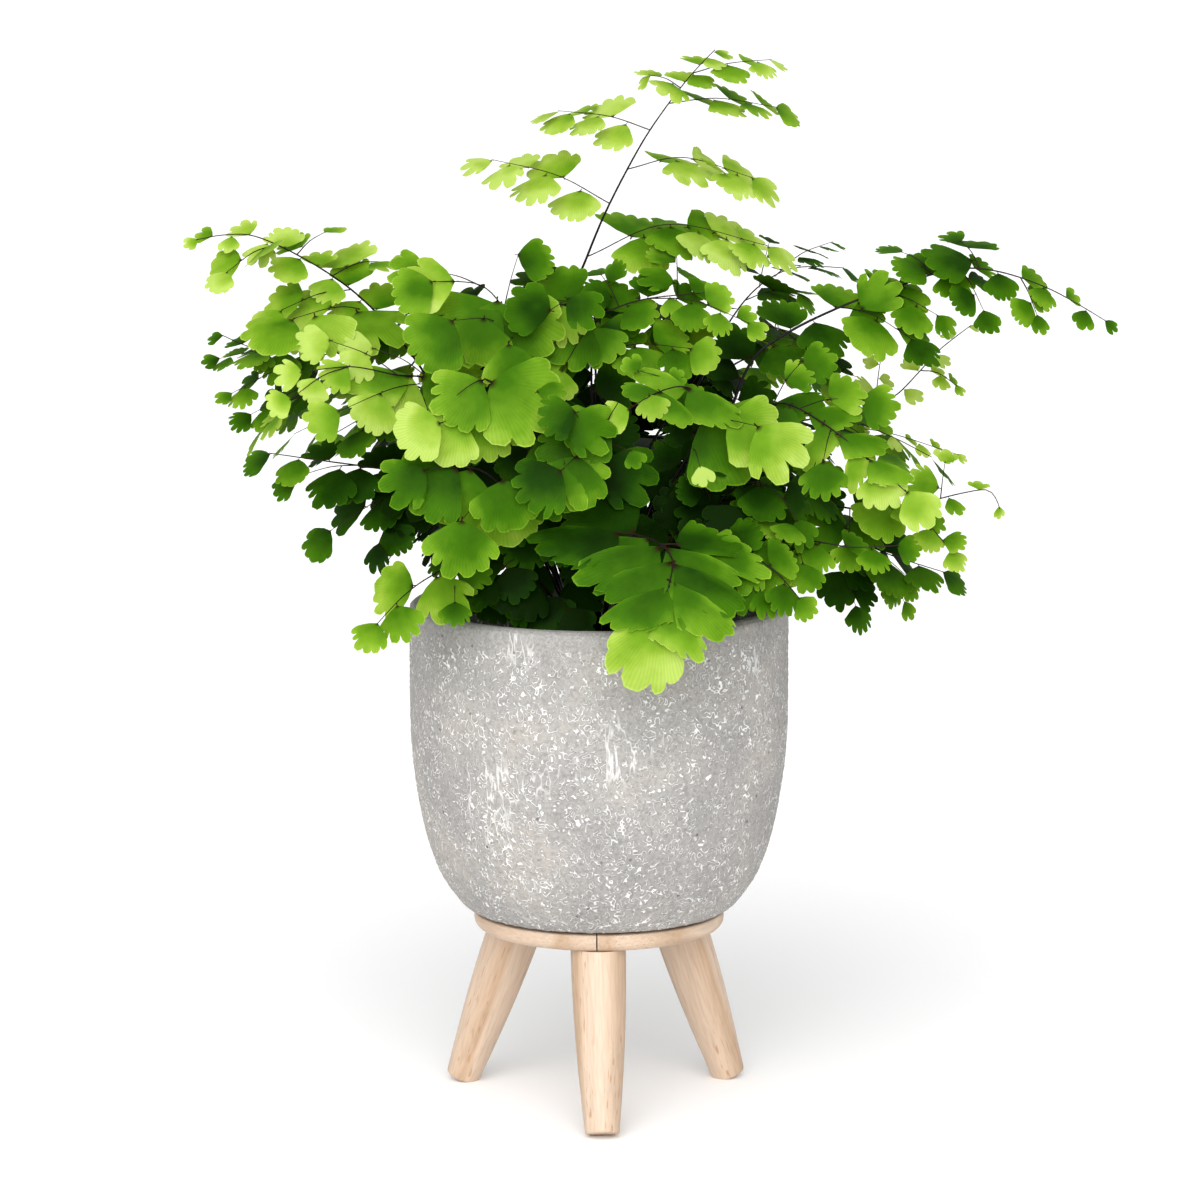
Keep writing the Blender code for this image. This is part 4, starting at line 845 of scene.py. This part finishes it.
def set_leaflets(line, count, length, first, frond, draw):
    """Leaflets left and right of a line in turn, and one at its tip.

    Each is its base, axis, normal, length, kind and hand.
    """
    _, _, _, face, droop, kind, _, _, _ = frond
    for number in range(count):
        last = number == count - 1
        part = number / (count - 1) if count > 1 else 1
        base, along = at_share(line, first + (1 - first) * part)
        out = Vector((base.x, base.y, 0))
        out = out.normalized() if out.length > 25 else Vector((along.x, along.y, 0.01)).normalized()
        light = Vector((0, -0.85 * face, 0.8)) + out * (0.5 - 0.2 * face)
        normal = (light - along * light.dot(along) * 0.6).normalized()
        side = along.cross(normal).normalized() * (1 if number % 2 else -1)
        swing = math.radians(draw.uniform(10, 45) if kind == "fan" else 6 + 26 * part)
        drop = droop * draw.uniform(0.5, 1.3) * (0.4 if side.z > 0 else 1)
        sway, lap = (0.06 + 0.22 * droop, LAP) if kind == "fan" or last else (0.03, LONG_LAP)
        jitter = Vector([draw.uniform(-sway, sway) for _ in range(3)])
        taper = 0.2 if length > LARGE_LEAFLET else min(0.6, 0.07 * count) if first > 0.3 else 0.35
        size = length * draw.uniform(0.85, 1.15) * (1 - taper * part)
        if last:
            axis = along - Vector((0, 0, 0.3 * drop))
            shape = "fan"
            base = base - along * LEAFLET_ROOT
        else:
            axis = side * math.cos(swing) + along * math.sin(swing) - Vector((0, 0, drop))
            shape = kind
        normal = (normal + along * lap + jitter).normalized()
        axis = (axis - normal * axis.dot(normal)).normalized()
        hand = 1 if normal.cross(axis).dot(along) > 0 else -1
        yield base, axis, normal, size, shape, hand


def fit_leaflet(leaflet, name, neighbours):
    """The leaflet turned or made smaller until it is clear of its neighbours, or None."""
    base, axis, normal, length, kind, hand = leaflet
    across = normal.cross(axis)
    own = name + " leaflets"
    for pitch, roll, scale in FITS:
        turn = Matrix.Rotation(math.radians(pitch), 3, across) @ Matrix.Rotation(math.radians(roll), 3, axis)
        tried = (base, turn @ axis, turn @ normal, length * scale, kind, hand)
        if neighbours.touched(*plate(tried, 0, CLEARANCE), lambda owner: owner not in (name, own)):
            continue
        if not neighbours.touched(*plate(tried, 0.05, 0.1), lambda owner: owner == own):
            return tried
    return None


def lay_leaflets(fronds, laid, neighbours):
    """Every frond's leaflets, each clear of the other fronds."""
    grown = {}
    for number, frond in enumerate(fronds):
        name, (count, length, first) = frond[0], frond[6]
        draw = random.Random(number)
        stalk, twigs = laid[name]
        grown[name] = []
        for line, many, size, start in [(stalk, count, length, first)] + [(*twig, 0.25) for twig in twigs]:
            for leaflet in set_leaflets(line, many, size, start, frond, draw):
                fitted = fit_leaflet(leaflet, name, neighbours)
                if fitted:
                    grown[name].append(fitted)
                    neighbours.add(name + " leaflets", *plate(fitted, 0.05, 0))
    return grown


# A blade's outline runs round its base point: a radius for each angle, cut in by a narrow notch between
# lobes. For each blade:
# name, lobes, first angle, last angle, notch depth, droop, cup
BLADES = [
    ("fan_a", 6, -56, 52, 0.17, 0.12, 0.1), ("fan_b", 7, -60, 50, 0.14, 0.16, 0.06),
    ("fan_c", 5, -50, 54, 0.2, 0.08, 0.14), ("fan_d", 6, -58, 62, 0.16, 0.16, 0.08),
    ("fan_e", 4, -54, 48, 0.26, 0.18, 0.04), ("fan_f", 6, -62, 50, 0.15, 0.1, 0.12),
    ("long_a", 6, -12, 64, 0.12, 0.1, 0.34), ("long_b", 7, -10, 66, 0.09, 0.14, 0.26),
    ("long_c", 6, -14, 62, 0.14, 0.08, 0.4),
    ("tip_a", 5, -50, 46, 0.14, 0.1, 0.1),
    ("wedge_a", 3, -48, 46, 0.18, 0.1, 0.12), ("wedge_b", 3, -54, 44, 0.15, 0.16, 0.08)]
LOBE_STEPS = (0, 0.09, 0.3, 0.5, 0.7, 0.91)    # outline points across a lobe, close together at the notch
PETIOLE = 0.07                 # share of the length that is its short black stalk
VEINS = 30                     # across a blade
LIGHT_THROUGH = 0.22           # share of a blade's light that has come through it


def blade_radius(kind, part, turn):
    """How far the margin lies from the base: nearly even for a fan, as for a blunt strip for a long blade."""
    if kind == "long":
        side = 0.4 if turn > 0 else 0.11
        return (math.cos(turn) ** 2.8 + (abs(math.sin(turn)) / side) ** 2.8) ** (-1 / 2.8)
    return 1 - (0.36 if kind == "tip_" else 0.22) * abs(2 * part - 1) ** 2.2


def blade_mesh(name, lobes, first, last, notch, droop, cup, hand):
    """One leaflet of length 1 from its base along X, face up, as a thin sheet of a few dozen faces.

    Its UV map holds the share of the way out to the margin, and the share of the way round it.
    """
    draw = random.Random(name)
    widths = [draw.uniform(0.6, 1.4) for _ in range(lobes)]
    starts = [sum(widths[:lobe]) / sum(widths) for lobe in range(lobes + 1)]
    depths = [notch * draw.uniform(0.25, 1.6) for _ in range(lobes + 1)]
    reaches = [draw.uniform(0.92, 1.03) for _ in range(lobes + 1)]
    bm = bmesh.new()
    places = bm.verts.layers.float_vector.new("place")

    def corner(lobe, phase, share):
        part = starts[lobe] + (starts[min(lobe + 1, lobes)] - starts[lobe]) * phase
        turn = math.radians(first + (last - first) * part)
        edge = abs(phase - round(phase))
        depth = depths[lobe + round(phase)] * max(0, 1 - edge / 0.16)
        depth += 0.022 * (1 - math.sin(math.pi * phase) ** 2)
        radius = blade_radius(name[:4], part, turn)
        depth *= min(1, max(0.12, 2.2 * radius - 0.9))
        ragged = draw.uniform(-0.012, 0.012)
        reach = radius * (reaches[lobe] * (1 - depth) + ragged if share == 1 else share)
        reach = PETIOLE + (1 - PETIOLE) * reach
        x, y = reach * math.cos(turn), reach * math.sin(turn) * hand
        pleat = 0.012 * share ** 2 * (1 - 2 * math.cos(math.pi * phase) ** 2)
        z = -droop * x * x - cup * y * y + pleat + 0.03 * math.sin(5 * x + 3 * y + len(name)) * share
        made = bm.verts.new((x, y, z))
        made[places] = (share, part, 0)
        return made

    margin = [corner(lobe, phase, 1) for lobe in range(lobes) for phase in LOBE_STEPS] + [corner(lobes, 0, 1)]
    middle = [corner(lobe, phase, 0.68) for lobe in range(lobes) for phase in (0, 0.5)]
    middle.append(corner(lobes, 0, 0.68))
    inner = [corner(lobe, 0, 0.34) for lobe in range(lobes + 1)]
    foot = [bm.verts.new((PETIOLE, side * 0.012, 0)) for side in (-hand, hand)]
    start = [bm.verts.new((0, side * 0.012, 0)) for side in (-hand, hand)]
    for index in range(2 * lobes):
        rim, near = margin[3 * index:3 * index + 4], middle[index:index + 2]
        turned_in = index % 2
        bm.faces.new((near[0], rim[0], rim[1]))
        bm.faces.new((near[1], rim[2], rim[3]))
        bm.faces.new((near[0], rim[1], rim[2]) if turned_in else (near[1], rim[1], rim[2]))
        bm.faces.new((near[0], rim[2], near[1]) if turned_in else (near[0], rim[1], near[1]))
    for index in range(lobes):
        left, tip, right = middle[2 * index:2 * index + 3]
        bm.faces.new((inner[index], left, tip))
        bm.faces.new((inner[index], tip, inner[index + 1]))
        bm.faces.new((inner[index + 1], tip, right))
    centre = lobes // 2
    for index in range(lobes):
        bm.faces.new((foot[0] if index < centre else foot[1], inner[index], inner[index + 1]))
    bm.faces.new((foot[0], inner[centre], foot[1]))
    bm.faces.new((start[0], foot[0], foot[1], start[1]))
    bmesh.ops.recalc_face_normals(bm, faces=bm.faces)
    if sum(face.normal.z for face in bm.faces) < 0:
        bmesh.ops.reverse_faces(bm, faces=bm.faces)
    uv = bm.loops.layers.uv.new("blade")
    for face in bm.faces:
        face.smooth = True
        for loop in face.loops:
            loop[uv].uv = loop.vert[places][:2]
    bm.verts.layers.float_vector.remove(places)
    return mesh_from(name, bm)


def leaf():
    """A thin, soft, slightly waxy blade: veins fan out from its base and light comes through."""
    material, tree, shader = new_material("maidenhair_leaf")
    tone = add(tree, "ShaderNodeAttribute", output=2, attribute_name="tone")
    place = add(tree, "ShaderNodeTexCoord", output=3)
    blade = add(tree, "ShaderNodeUVMap", uv_map="blade")
    out = add(tree, "ShaderNodeSeparateXYZ", {0: blade})
    around = out.node.outputs[1]
    noisy = add(tree, "ShaderNodeTexNoise", {"Vector": place, "Scale": 1000 / 16, "Detail": 3.0})
    drift = add(tree, "ShaderNodeMapRange", {"Value": noisy, 1: 0.3, 2: 0.7, 3: -0.1, 4: 0.1})
    # painted shade: one side of each blade, where the leaflet above shades it, is darker, and the other side
    # a little paler
    side = add(tree, "ShaderNodeMapRange", {"Value": around, 3: -0.06, 4: 0.05})
    paler = add(tree, "ShaderNodeMapRange", {"Value": out, 1: 0.3, 2: 1.0, 3: -0.07, 4: 0.13},
                interpolation_type="SMOOTHSTEP")
    edge = add(tree, "ShaderNodeMapRange", {"Value": out, 1: 0.97, 2: 0.99, 3: 0.0, 4: 0.14})
    # the tone carries age with painted shade and painted light; the changes add random drift, the painted
    # shade across the blade, paler margins and the pale rim
    age_and_shade = tone
    for change in (drift, side, paler, edge):
        age_and_shade = add(tree, "ShaderNodeMath", {0: age_and_shade, 1: change}, operation="ADD")
    colour = add(tree, "ShaderNodeValToRGB", {0: age_and_shade}, stops=[
        (0.0, "#0C2300"), (1.0, "#ACC65E"), (0.22, "#1A3D02"), (0.5, "#3C6A08"), (0.72, "#6A951E"),
        (0.88, "#93B23E")])
    veins = add(tree, "ShaderNodeMath", {0: around, 1: VEINS * 2 * math.pi}, operation="MULTIPLY")
    wave = add(tree, "ShaderNodeMath", {0: veins}, operation="SINE")
    strength = add(tree, "ShaderNodeMapRange", {"Value": wave, 1: -1.0, 2: 1.0, 3: 0.94, 4: 1.05})
    veined = add(tree, "ShaderNodeVectorMath", {0: colour, "Scale": strength}, operation="SCALE")
    stem = add(tree, "ShaderNodeMapRange", {"Value": out, 1: 0.02, 2: 0.1, 3: 1.0, 4: 0.0})
    final = add(tree, "ShaderNodeMix", {0: stem, 6: veined, 7: linear("#241509")}, 2, data_type="RGBA")
    bump = add(tree, "ShaderNodeBump", {"Height": wave, "Strength": 0.15, "Distance": 0.0001})
    feed(tree, shader, {"Base Color": final, "Roughness": 0.52, "IOR": 1.4, "Specular IOR Level": 0.05,
                        "Normal": bump})
    lit = add(tree, "ShaderNodeHueSaturation",
              {"Hue": 0.485, "Saturation": 1.1, "Value": 1.15, "Color": final})
    through = add(tree, "ShaderNodeBsdfTranslucent", {"Color": lit})
    mixed = add(tree, "ShaderNodeMixShader", {0: LIGHT_THROUGH, 1: shader.outputs[0], 2: through})
    feed(tree, tree.nodes["Material Output"], {"Surface": mixed})
    return material


def stalk():
    """The wiry stalk: hard, polished, purple-black, and browner where it is young and thin."""
    material, tree, shader = new_material("wiry_stalk")
    thick = add(tree, "ShaderNodeAttribute", output=2, attribute_name="thick")
    place = add(tree, "ShaderNodeTexCoord", output=3)
    mottle = add(tree, "ShaderNodeTexNoise", {"Vector": place, "Scale": 1000 / 7, "Detail": 2.0})
    shade = add(tree, "ShaderNodeMath", {0: mottle, 1: 0.9}, operation="MULTIPLY")
    mixed = add(tree, "ShaderNodeMath", {0: thick, 1: shade}, operation="ADD")
    colour = add(tree, "ShaderNodeValToRGB", {0: mixed}, stops=[(0.3, "#2E180C"), (0.9, "#0E0807")])
    feed(tree, shader, {"Base Color": colour, "Roughness": 0.34, "IOR": 1.5, "Specular IOR Level": 0.15})
    return material


shapes = bpy.data.collections.new("blade_shapes")
for name, *shape in BLADES:
    for hand, side in ((1, "left"), (-1, "right")):
        shapes.objects.link(bpy.data.objects.new(f"{name}_{side}", blade_mesh(name, *shape, hand)))
order = sorted(thing.name for thing in shapes.objects)

set_leaves, given, result = new_tree("set_leaflets", Blades="Collection", Finish="Material")
turn = add(set_leaves, "GeometryNodeInputNamedAttribute", {"Name": "turn"}, data_type="FLOAT_VECTOR")
size = add(set_leaves, "GeometryNodeInputNamedAttribute", {"Name": "size"}, data_type="FLOAT")
kind = add(set_leaves, "GeometryNodeInputNamedAttribute", {"Name": "kind"}, data_type="INT")
blades = add(set_leaves, "GeometryNodeCollectionInfo",
             {"Collection": given.outputs["Blades"], "Separate Children": True, "Reset Children": True})
facing = add(set_leaves, "FunctionNodeEulerToRotation", {0: turn})
put = add(set_leaves, "GeometryNodeInstanceOnPoints",
          {"Points": given.outputs["Geometry"], "Instance": blades, "Pick Instance": True,
           "Instance Index": kind, "Rotation": facing, "Scale": size})
send_out(set_leaves, put, given, result)

draw_stalks, given, result = new_tree("draw_stalks", Sides="Int", Finish="Material")
thick = add(draw_stalks, "GeometryNodeInputNamedAttribute", {"Name": "thick"}, data_type="FLOAT")
wires = add(draw_stalks, "GeometryNodeMeshToCurve", {0: given.outputs["Geometry"]})
ring = add(draw_stalks, "GeometryNodeCurvePrimitiveCircle",
           {"Resolution": given.outputs["Sides"], "Radius": MM})
tube = add(draw_stalks, "GeometryNodeCurveToMesh",
           {"Curve": wires, "Profile Curve": ring, "Scale": thick, "Fill Caps": True})
rounded = add(draw_stalks, "GeometryNodeSetShadeSmooth", {0: tube})
send_out(draw_stalks, rounded, given, result)


def leaf_points(leaflets, inner, tone, seed):
    """A point for each leaflet, with its turn, size, blade and tone. The inner ones, painted dark for the
    shade deep in the plant, come last.
    """
    draw = random.Random(seed)
    mesh = bpy.data.meshes.new("leaf_points")
    leaflets = leaflets + inner
    mesh.from_pydata([leaflet[0] * MM + AXIS for leaflet in leaflets], [], [])
    for label, data_type in (("turn", "FLOAT_VECTOR"), ("size", "FLOAT"), ("kind", "INT"), ("tone", "FLOAT")):
        mesh.attributes.new(label, data_type, "POINT")
    turn, size, kind, tones = (mesh.attributes[label].data for label in ("turn", "size", "kind", "tone"))
    for index, (base, axis, normal, length, shape, hand) in enumerate(leaflets):
        across = normal.cross(axis)
        turn[index].vector = Matrix((axis, across, normal)).transposed().to_euler()
        size[index].value = length * MM
        family = shape if shape != "fan" else "wedge" if length < SMALL_LEAFLET else "fan"
        choices = [at for at, name in enumerate(order)
                   if name.startswith(family) and name.endswith("left" if hand > 0 else "right")]
        kind[index].value = draw.choice(choices)
        youth = YOUNG_TONE * max(0, 1 - length / GROWN_LENGTH)
        # painted shade: leaflets near the heart of the plant are darker, partly for their age and partly for
        # the shade there
        outward = min(1, max(0, (base - SHADED_HEART).length - HEART_RADIUS) / HEART_FADE) - 0.7
        # painted light: leaflets that hang steeply are paler, as if lit through from behind; the noise gives
        # random lighter and darker patches
        patch = 0.34 * noise.noise(base / PATCH_SPACING) + 0.25 * max(0, -axis.z - 0.55)
        tones[index].value = tone * 0.74 + 0.01 + youth + 0.6 * outward + patch + draw.uniform(-0.13, 0.13)
        tones[index].value += YOUNG_TONE if shape == "tip" else 0
        # painted shade: the leaflets deep inside are given dark tones for the shade there
        if index >= len(leaflets) - len(inner):
            tones[index].value = draw.uniform(*INNER_SHADE_TONES)
    return mesh


def stalk_wires(stalk, radius, twigs):
    """The stalk's and twigs' lines as strings of edges, with their radii in mm."""
    mesh = bpy.data.meshes.new("stalk_wires")
    points, edges, radii = [], [], []
    lines = [(stalk, radius, STALK_TIP)] + [(twig[0], TWIG_RADIUS, TWIG_TIP) for twig in twigs]
    for line, start, end in lines:
        line = smooth_line(line, 3)
        edges += [(len(points) + step, len(points) + step + 1) for step in range(len(line) - 1)]
        radii += [start + (end - start) * step / (len(line) - 1) for step in range(len(line))]
        points += line
    mesh.from_pydata([point * MM + AXIS for point in points], edges, [])
    thick = mesh.attributes.new("thick", "FLOAT", "POINT")
    thick.data.foreach_set("value", radii)
    return mesh


# The fronds that show their faces plainly at the front, flat and tiled. For each: how far the leaflets face
# up, in degrees, and for each leaflet whether it is on the stalk (0) or a twig (its number), at what share
# of it, how far below level it points, to which hand, its length, and its kind if it is no fan.
POSED = {
    "frond_front_fall": (42, [
        (1, 0.2, -30, -1, 37), (1, 0.7, 0, -1, 41, "long"), (0, 0.7, 8, -1, 30, "long"),
        (0, 0.755, 15, -1, 43, "long"), (0, 0.82, 21, -1, 36, "long"), (0, 0.905, 27, -1, 33, "long"),
        (2, 0.3, 4, 1, 32, "long"), (2, 0.8, 24, 1, 35, "long"), (0, 0.76, 20, 1, 38, "long"),
        (0, 0.825, 28, 1, 38, "long"), (0, 0.885, 36, 1, 37, "long"), (0, 0.965, 48, 1, 31, "long"),
        (0, 1.0, 110, 1, 35, "tip")]),
    "frond_front_spray": (30, [
        (0, 0.66, 34, 1, 30), (0, 0.7, 43, 1, 36), (0, 0.71, -30, -1, 28, "long"),
        (0, 0.81, 26, 1, 30, "long"), (0, 0.81, -24, -1, 26, "long"), (0, 0.895, 42, 1, 21, "long"),
        (0, 0.9, -14, -1, 18, "long"), (0, 0.93, 80, 1, 12), (0, 1.0, 28, -1, 13),
        (1, 0.5, 20, 1, 26), (1, 1.0, 45, 1, 28), (2, 1.0, 75, 1, 10),
        (3, 0.5, -35, 1, 9), (3, 1.0, -50, -1, 10)]),
    "frond_front_centre": (34, [
        (0, 0.74, 20, 1, 27), (0, 0.7, 60, -1, 26), (0, 0.8, -62, -1, 22),
        (0, 0.92, 35, -1, 22), (1, 0.6, 30, -1, 24), (1, 1.0, 12, -1, 18),
        (2, 1.0, 60, 1, 9), (3, 0.6, 70, -1, 25), (3, 1.0, 40, -1, 24)]),
    "frond_left_bright": (34, [
        (0, 0.47, 8, 1, 29), (0, 0.6, -34, 1, 15), (0, 0.74, 22, 1, 31),
        (0, 0.76, -4, -1, 33, "long"), (0, 0.76, 62, -1, 23), (0, 0.9, 35, -1, 15),
        (0, 1.0, 10, -1, 13), (1, 0.6, 60, -1, 19), (1, 1.0, 30, -1, 17),
        (2, 0.5, 50, -1, 15), (2, 1.0, 10, -1, 16), (3, 0.5, 60, -1, 12),
        (3, 1.0, 20, -1, 12), (4, 1.0, 0, -1, 16)]),
    "frond_crown_left": (40, [
        (0, 0.7, 35, 1, 22), (0, 0.82, 48, 1, 31), (0, 0.83, 38, -1, 34),
        (0, 0.84, 95, 1, 26), (0, 0.95, 8, -1, 24), (0, 1.0, 20, -1, 20),
        (1, 0.5, 80, -1, 22), (1, 1.0, 40, -1, 26), (2, 0.7, -10, -1, 22),
        (2, 1.0, 30, 1, 18), (3, 1.0, 0, 1, 18), (4, 1.0, 85, 1, 22),
        (5, 1.0, -10, -1, 18)]),
    "frond_front_left": (36, [
        (0, 0.8, -30, 1, 21), (0, 0.9, 30, 1, 34), (0, 0.92, 35, -1, 26),
        (1, 0.5, 60, 1, 22), (1, 1.0, 20, 1, 23), (2, 0.4, 80, -1, 24),
        (2, 0.75, 60, -1, 24), (2, 1.0, 20, -1, 22), (3, 1.0, -30, 1, 14)]),
    "frond_front_low_left": (34, [
        (0, 0.72, 92, 1, 28), (1, 0.5, 40, 1, 24), (0, 0.9, 28, -1, 29),
        (0, 0.86, 70, -1, 27), (0, 1.0, 30, -1, 22), (1, 1.0, 50, 1, 23),
        (2, 1.0, 80, -1, 26), (3, 1.0, 80, 1, 24)]),
    "frond_right_spray": (38, [
        (0, 0.58, -28, 1, 24, "long"), (0, 0.62, 28, -1, 26, "long"), (0, 0.66, -18, 1, 26, "long"),
        (0, 0.7, 45, -1, 26, "long"), (0, 0.74, -8, 1, 26, "long"), (0, 0.78, 62, -1, 24, "long"),
        (0, 0.82, 6, 1, 24, "long"), (0, 0.86, 80, -1, 22, "long"), (0, 0.9, 20, 1, 22, "long"),
        (0, 0.93, 95, -1, 19), (0, 1.0, 52, 1, 20, "tip"), (1, 1.0, 70, 1, 20),
        (2, 0.5, -20, 1, 18), (2, 1.0, 10, 1, 18), (3, 1.0, 90, -1, 18),
        (4, 0.5, -30, 1, 15), (4, 1.0, -10, 1, 17)])}


def posed_leaflets(facing_up, rows, lines):
    """The leaflets of one such frond, each lying over the next one down."""
    for line, share, below, hand, length, *kind in rows:
        base, along = at_share(lines[line], share)
        turn, tilt = math.radians(below), math.radians(facing_up - 0.3 * max(0, below))
        normal = Vector((0.06, -math.cos(tilt), math.sin(tilt))).normalized()
        down = Vector((0, -math.sin(tilt), -math.cos(tilt)))
        axis = Vector((hand * math.cos(turn), 0, 0)) + down * math.sin(turn)
        axis = (axis - normal * axis.dot(normal)).normalized()
        hand = 1 if normal.cross(axis).dot(along) > 0 else -1
        yield base - axis * LEAFLET_ROOT, axis, normal, length, kind[0] if kind else "fan", hand


neighbours = Neighbours()
for node in ("pot", "soil"):
    mesh = frame["nodes"][node].data
    corners = [(vert.co - AXIS) / MM for vert in mesh.vertices]
    neighbours.add(node, corners, [tuple(face.vertices) for face in mesh.polygons])
fronds = all_fronds()
laid = lay_lines(fronds, neighbours)
grown = lay_leaflets(fronds, laid, neighbours)
for name, (facing_up, rows) in POSED.items():
    grown[name] = list(posed_leaflets(facing_up, rows, [laid[name][0]] + [twig[0] for twig in laid[name][1]]))
# leaflets deep inside the plant, whose dark tone is painted shade
inner = {}
for number, frond in enumerate(fronds):
    name, draw = frond[0], random.Random(INNER_SEED + number)
    rachis, twigs = laid[name]
    inner[name] = []
    for line, start in [(rachis, 0.35)] + [(twig[0], 0.12) for twig in twigs]:
        reach = sum((b - a).length for a, b in zip(line, line[1:])) * (1 - start)
        for leaflet in set_leaflets(line, round(reach / INNER_SPACING), INNER_SIZE, start, frond, draw):
            if ((leaflet[0] - SHADED_HEART) * INNER_SHAPE).length > 1 or name == "frond_front_fall":
                continue
            fitted = fit_leaflet((*leaflet[:4], "fan", leaflet[5]), name, neighbours)
            if fitted:
                inner[name].append(fitted)
                neighbours.add(name + " leaflets", *plate(fitted, 0.05, 0))
leaf_finish, stalk_finish = leaf(), stalk()
for number, frond in enumerate(fronds):
    name, radius, tone = frond[:3]
    stalks = show(name + "_stalks", stalk_wires(laid[name][0], radius, laid[name][1]))
    settle(stalks, draw_stalks, Sides=6, Finish=stalk_finish)
    leaves = show(name + "_leaves", leaf_points(grown[name], inner[name], tone, number))
    settle(leaves, set_leaves, Blades=shapes, Finish=leaf_finish)
    for piece in (stalks, leaves):
        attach(piece, "root")
        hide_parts(name)
for shape in [*shapes.objects, *crumb_shapes.objects]:
    bpy.data.objects.remove(shape)


# ---------------------------------------------------------------- studio
# A white floor that runs out of sight, a dome of soft light that is brightest above and in front of
# the plant, and a long lens that looks slightly down.

CAMERA_DISTANCE, CAMERA_HEIGHT, CAMERA_SIDE = 2.254, 0.5912, 0.00043
CAMERA_DOWN = 0.162            # radians below level
LENS = 157.26
KEY_FROM = (-0.1, -1.0, 0.58)  # where the bright part of the dome lies
KEY_FOCUS = 9.0
KEY_STRENGTH, FILL_STRENGTH = 6.4, 0.66

floor_mesh = bpy.data.meshes.new("studio_floor")
reach = 20
floor_mesh.from_pydata([(-reach, -reach, 0), (reach, -reach, 0), (reach, reach, 0), (-reach, reach, 0)], [],
                       [(0, 1, 2, 3)])
paper, tree, shader = new_material("white_paper")
feed(tree, shader, {"Base Color": (0.96, 0.96, 0.96, 1), "Roughness": 0.9, "Specular IOR Level": 0.1})
show("studio_floor", floor_mesh, paper)

world = bpy.data.worlds.new("white_studio")
world.use_nodes = True
tree = world.node_tree
heading = add(tree, "ShaderNodeTexCoord", output=0)
toward = add(tree, "ShaderNodeVectorMath", {0: heading, 1: Vector(KEY_FROM).normalized()}, output=1,
             operation="DOT_PRODUCT")
facing = add(tree, "ShaderNodeMath", {0: toward, 1: 0.0}, operation="MAXIMUM")
lobe = add(tree, "ShaderNodeMath", {0: facing, 1: KEY_FOCUS}, operation="POWER")
strength = add(tree, "ShaderNodeMath", {0: lobe, 1: KEY_STRENGTH, 2: FILL_STRENGTH}, operation="MULTIPLY_ADD")
feed(tree, tree.nodes["Background"], {"Color": (1, 1, 1, 1), "Strength": strength})
bpy.context.scene.world = world
bpy.context.scene.view_settings.view_transform = "Standard"

camera = bpy.data.objects.new("camera", bpy.data.cameras.new("camera"))
camera.data.lens = LENS
camera.data.sensor_width = 36
camera.data.clip_end = 50
camera.location = AXIS + Vector((CAMERA_SIDE, -CAMERA_DISTANCE, CAMERA_HEIGHT))
camera.rotation_euler = (math.pi / 2 - CAMERA_DOWN, 0, 0)
bpy.context.scene.collection.objects.link(camera)
bpy.context.scene.camera = camera
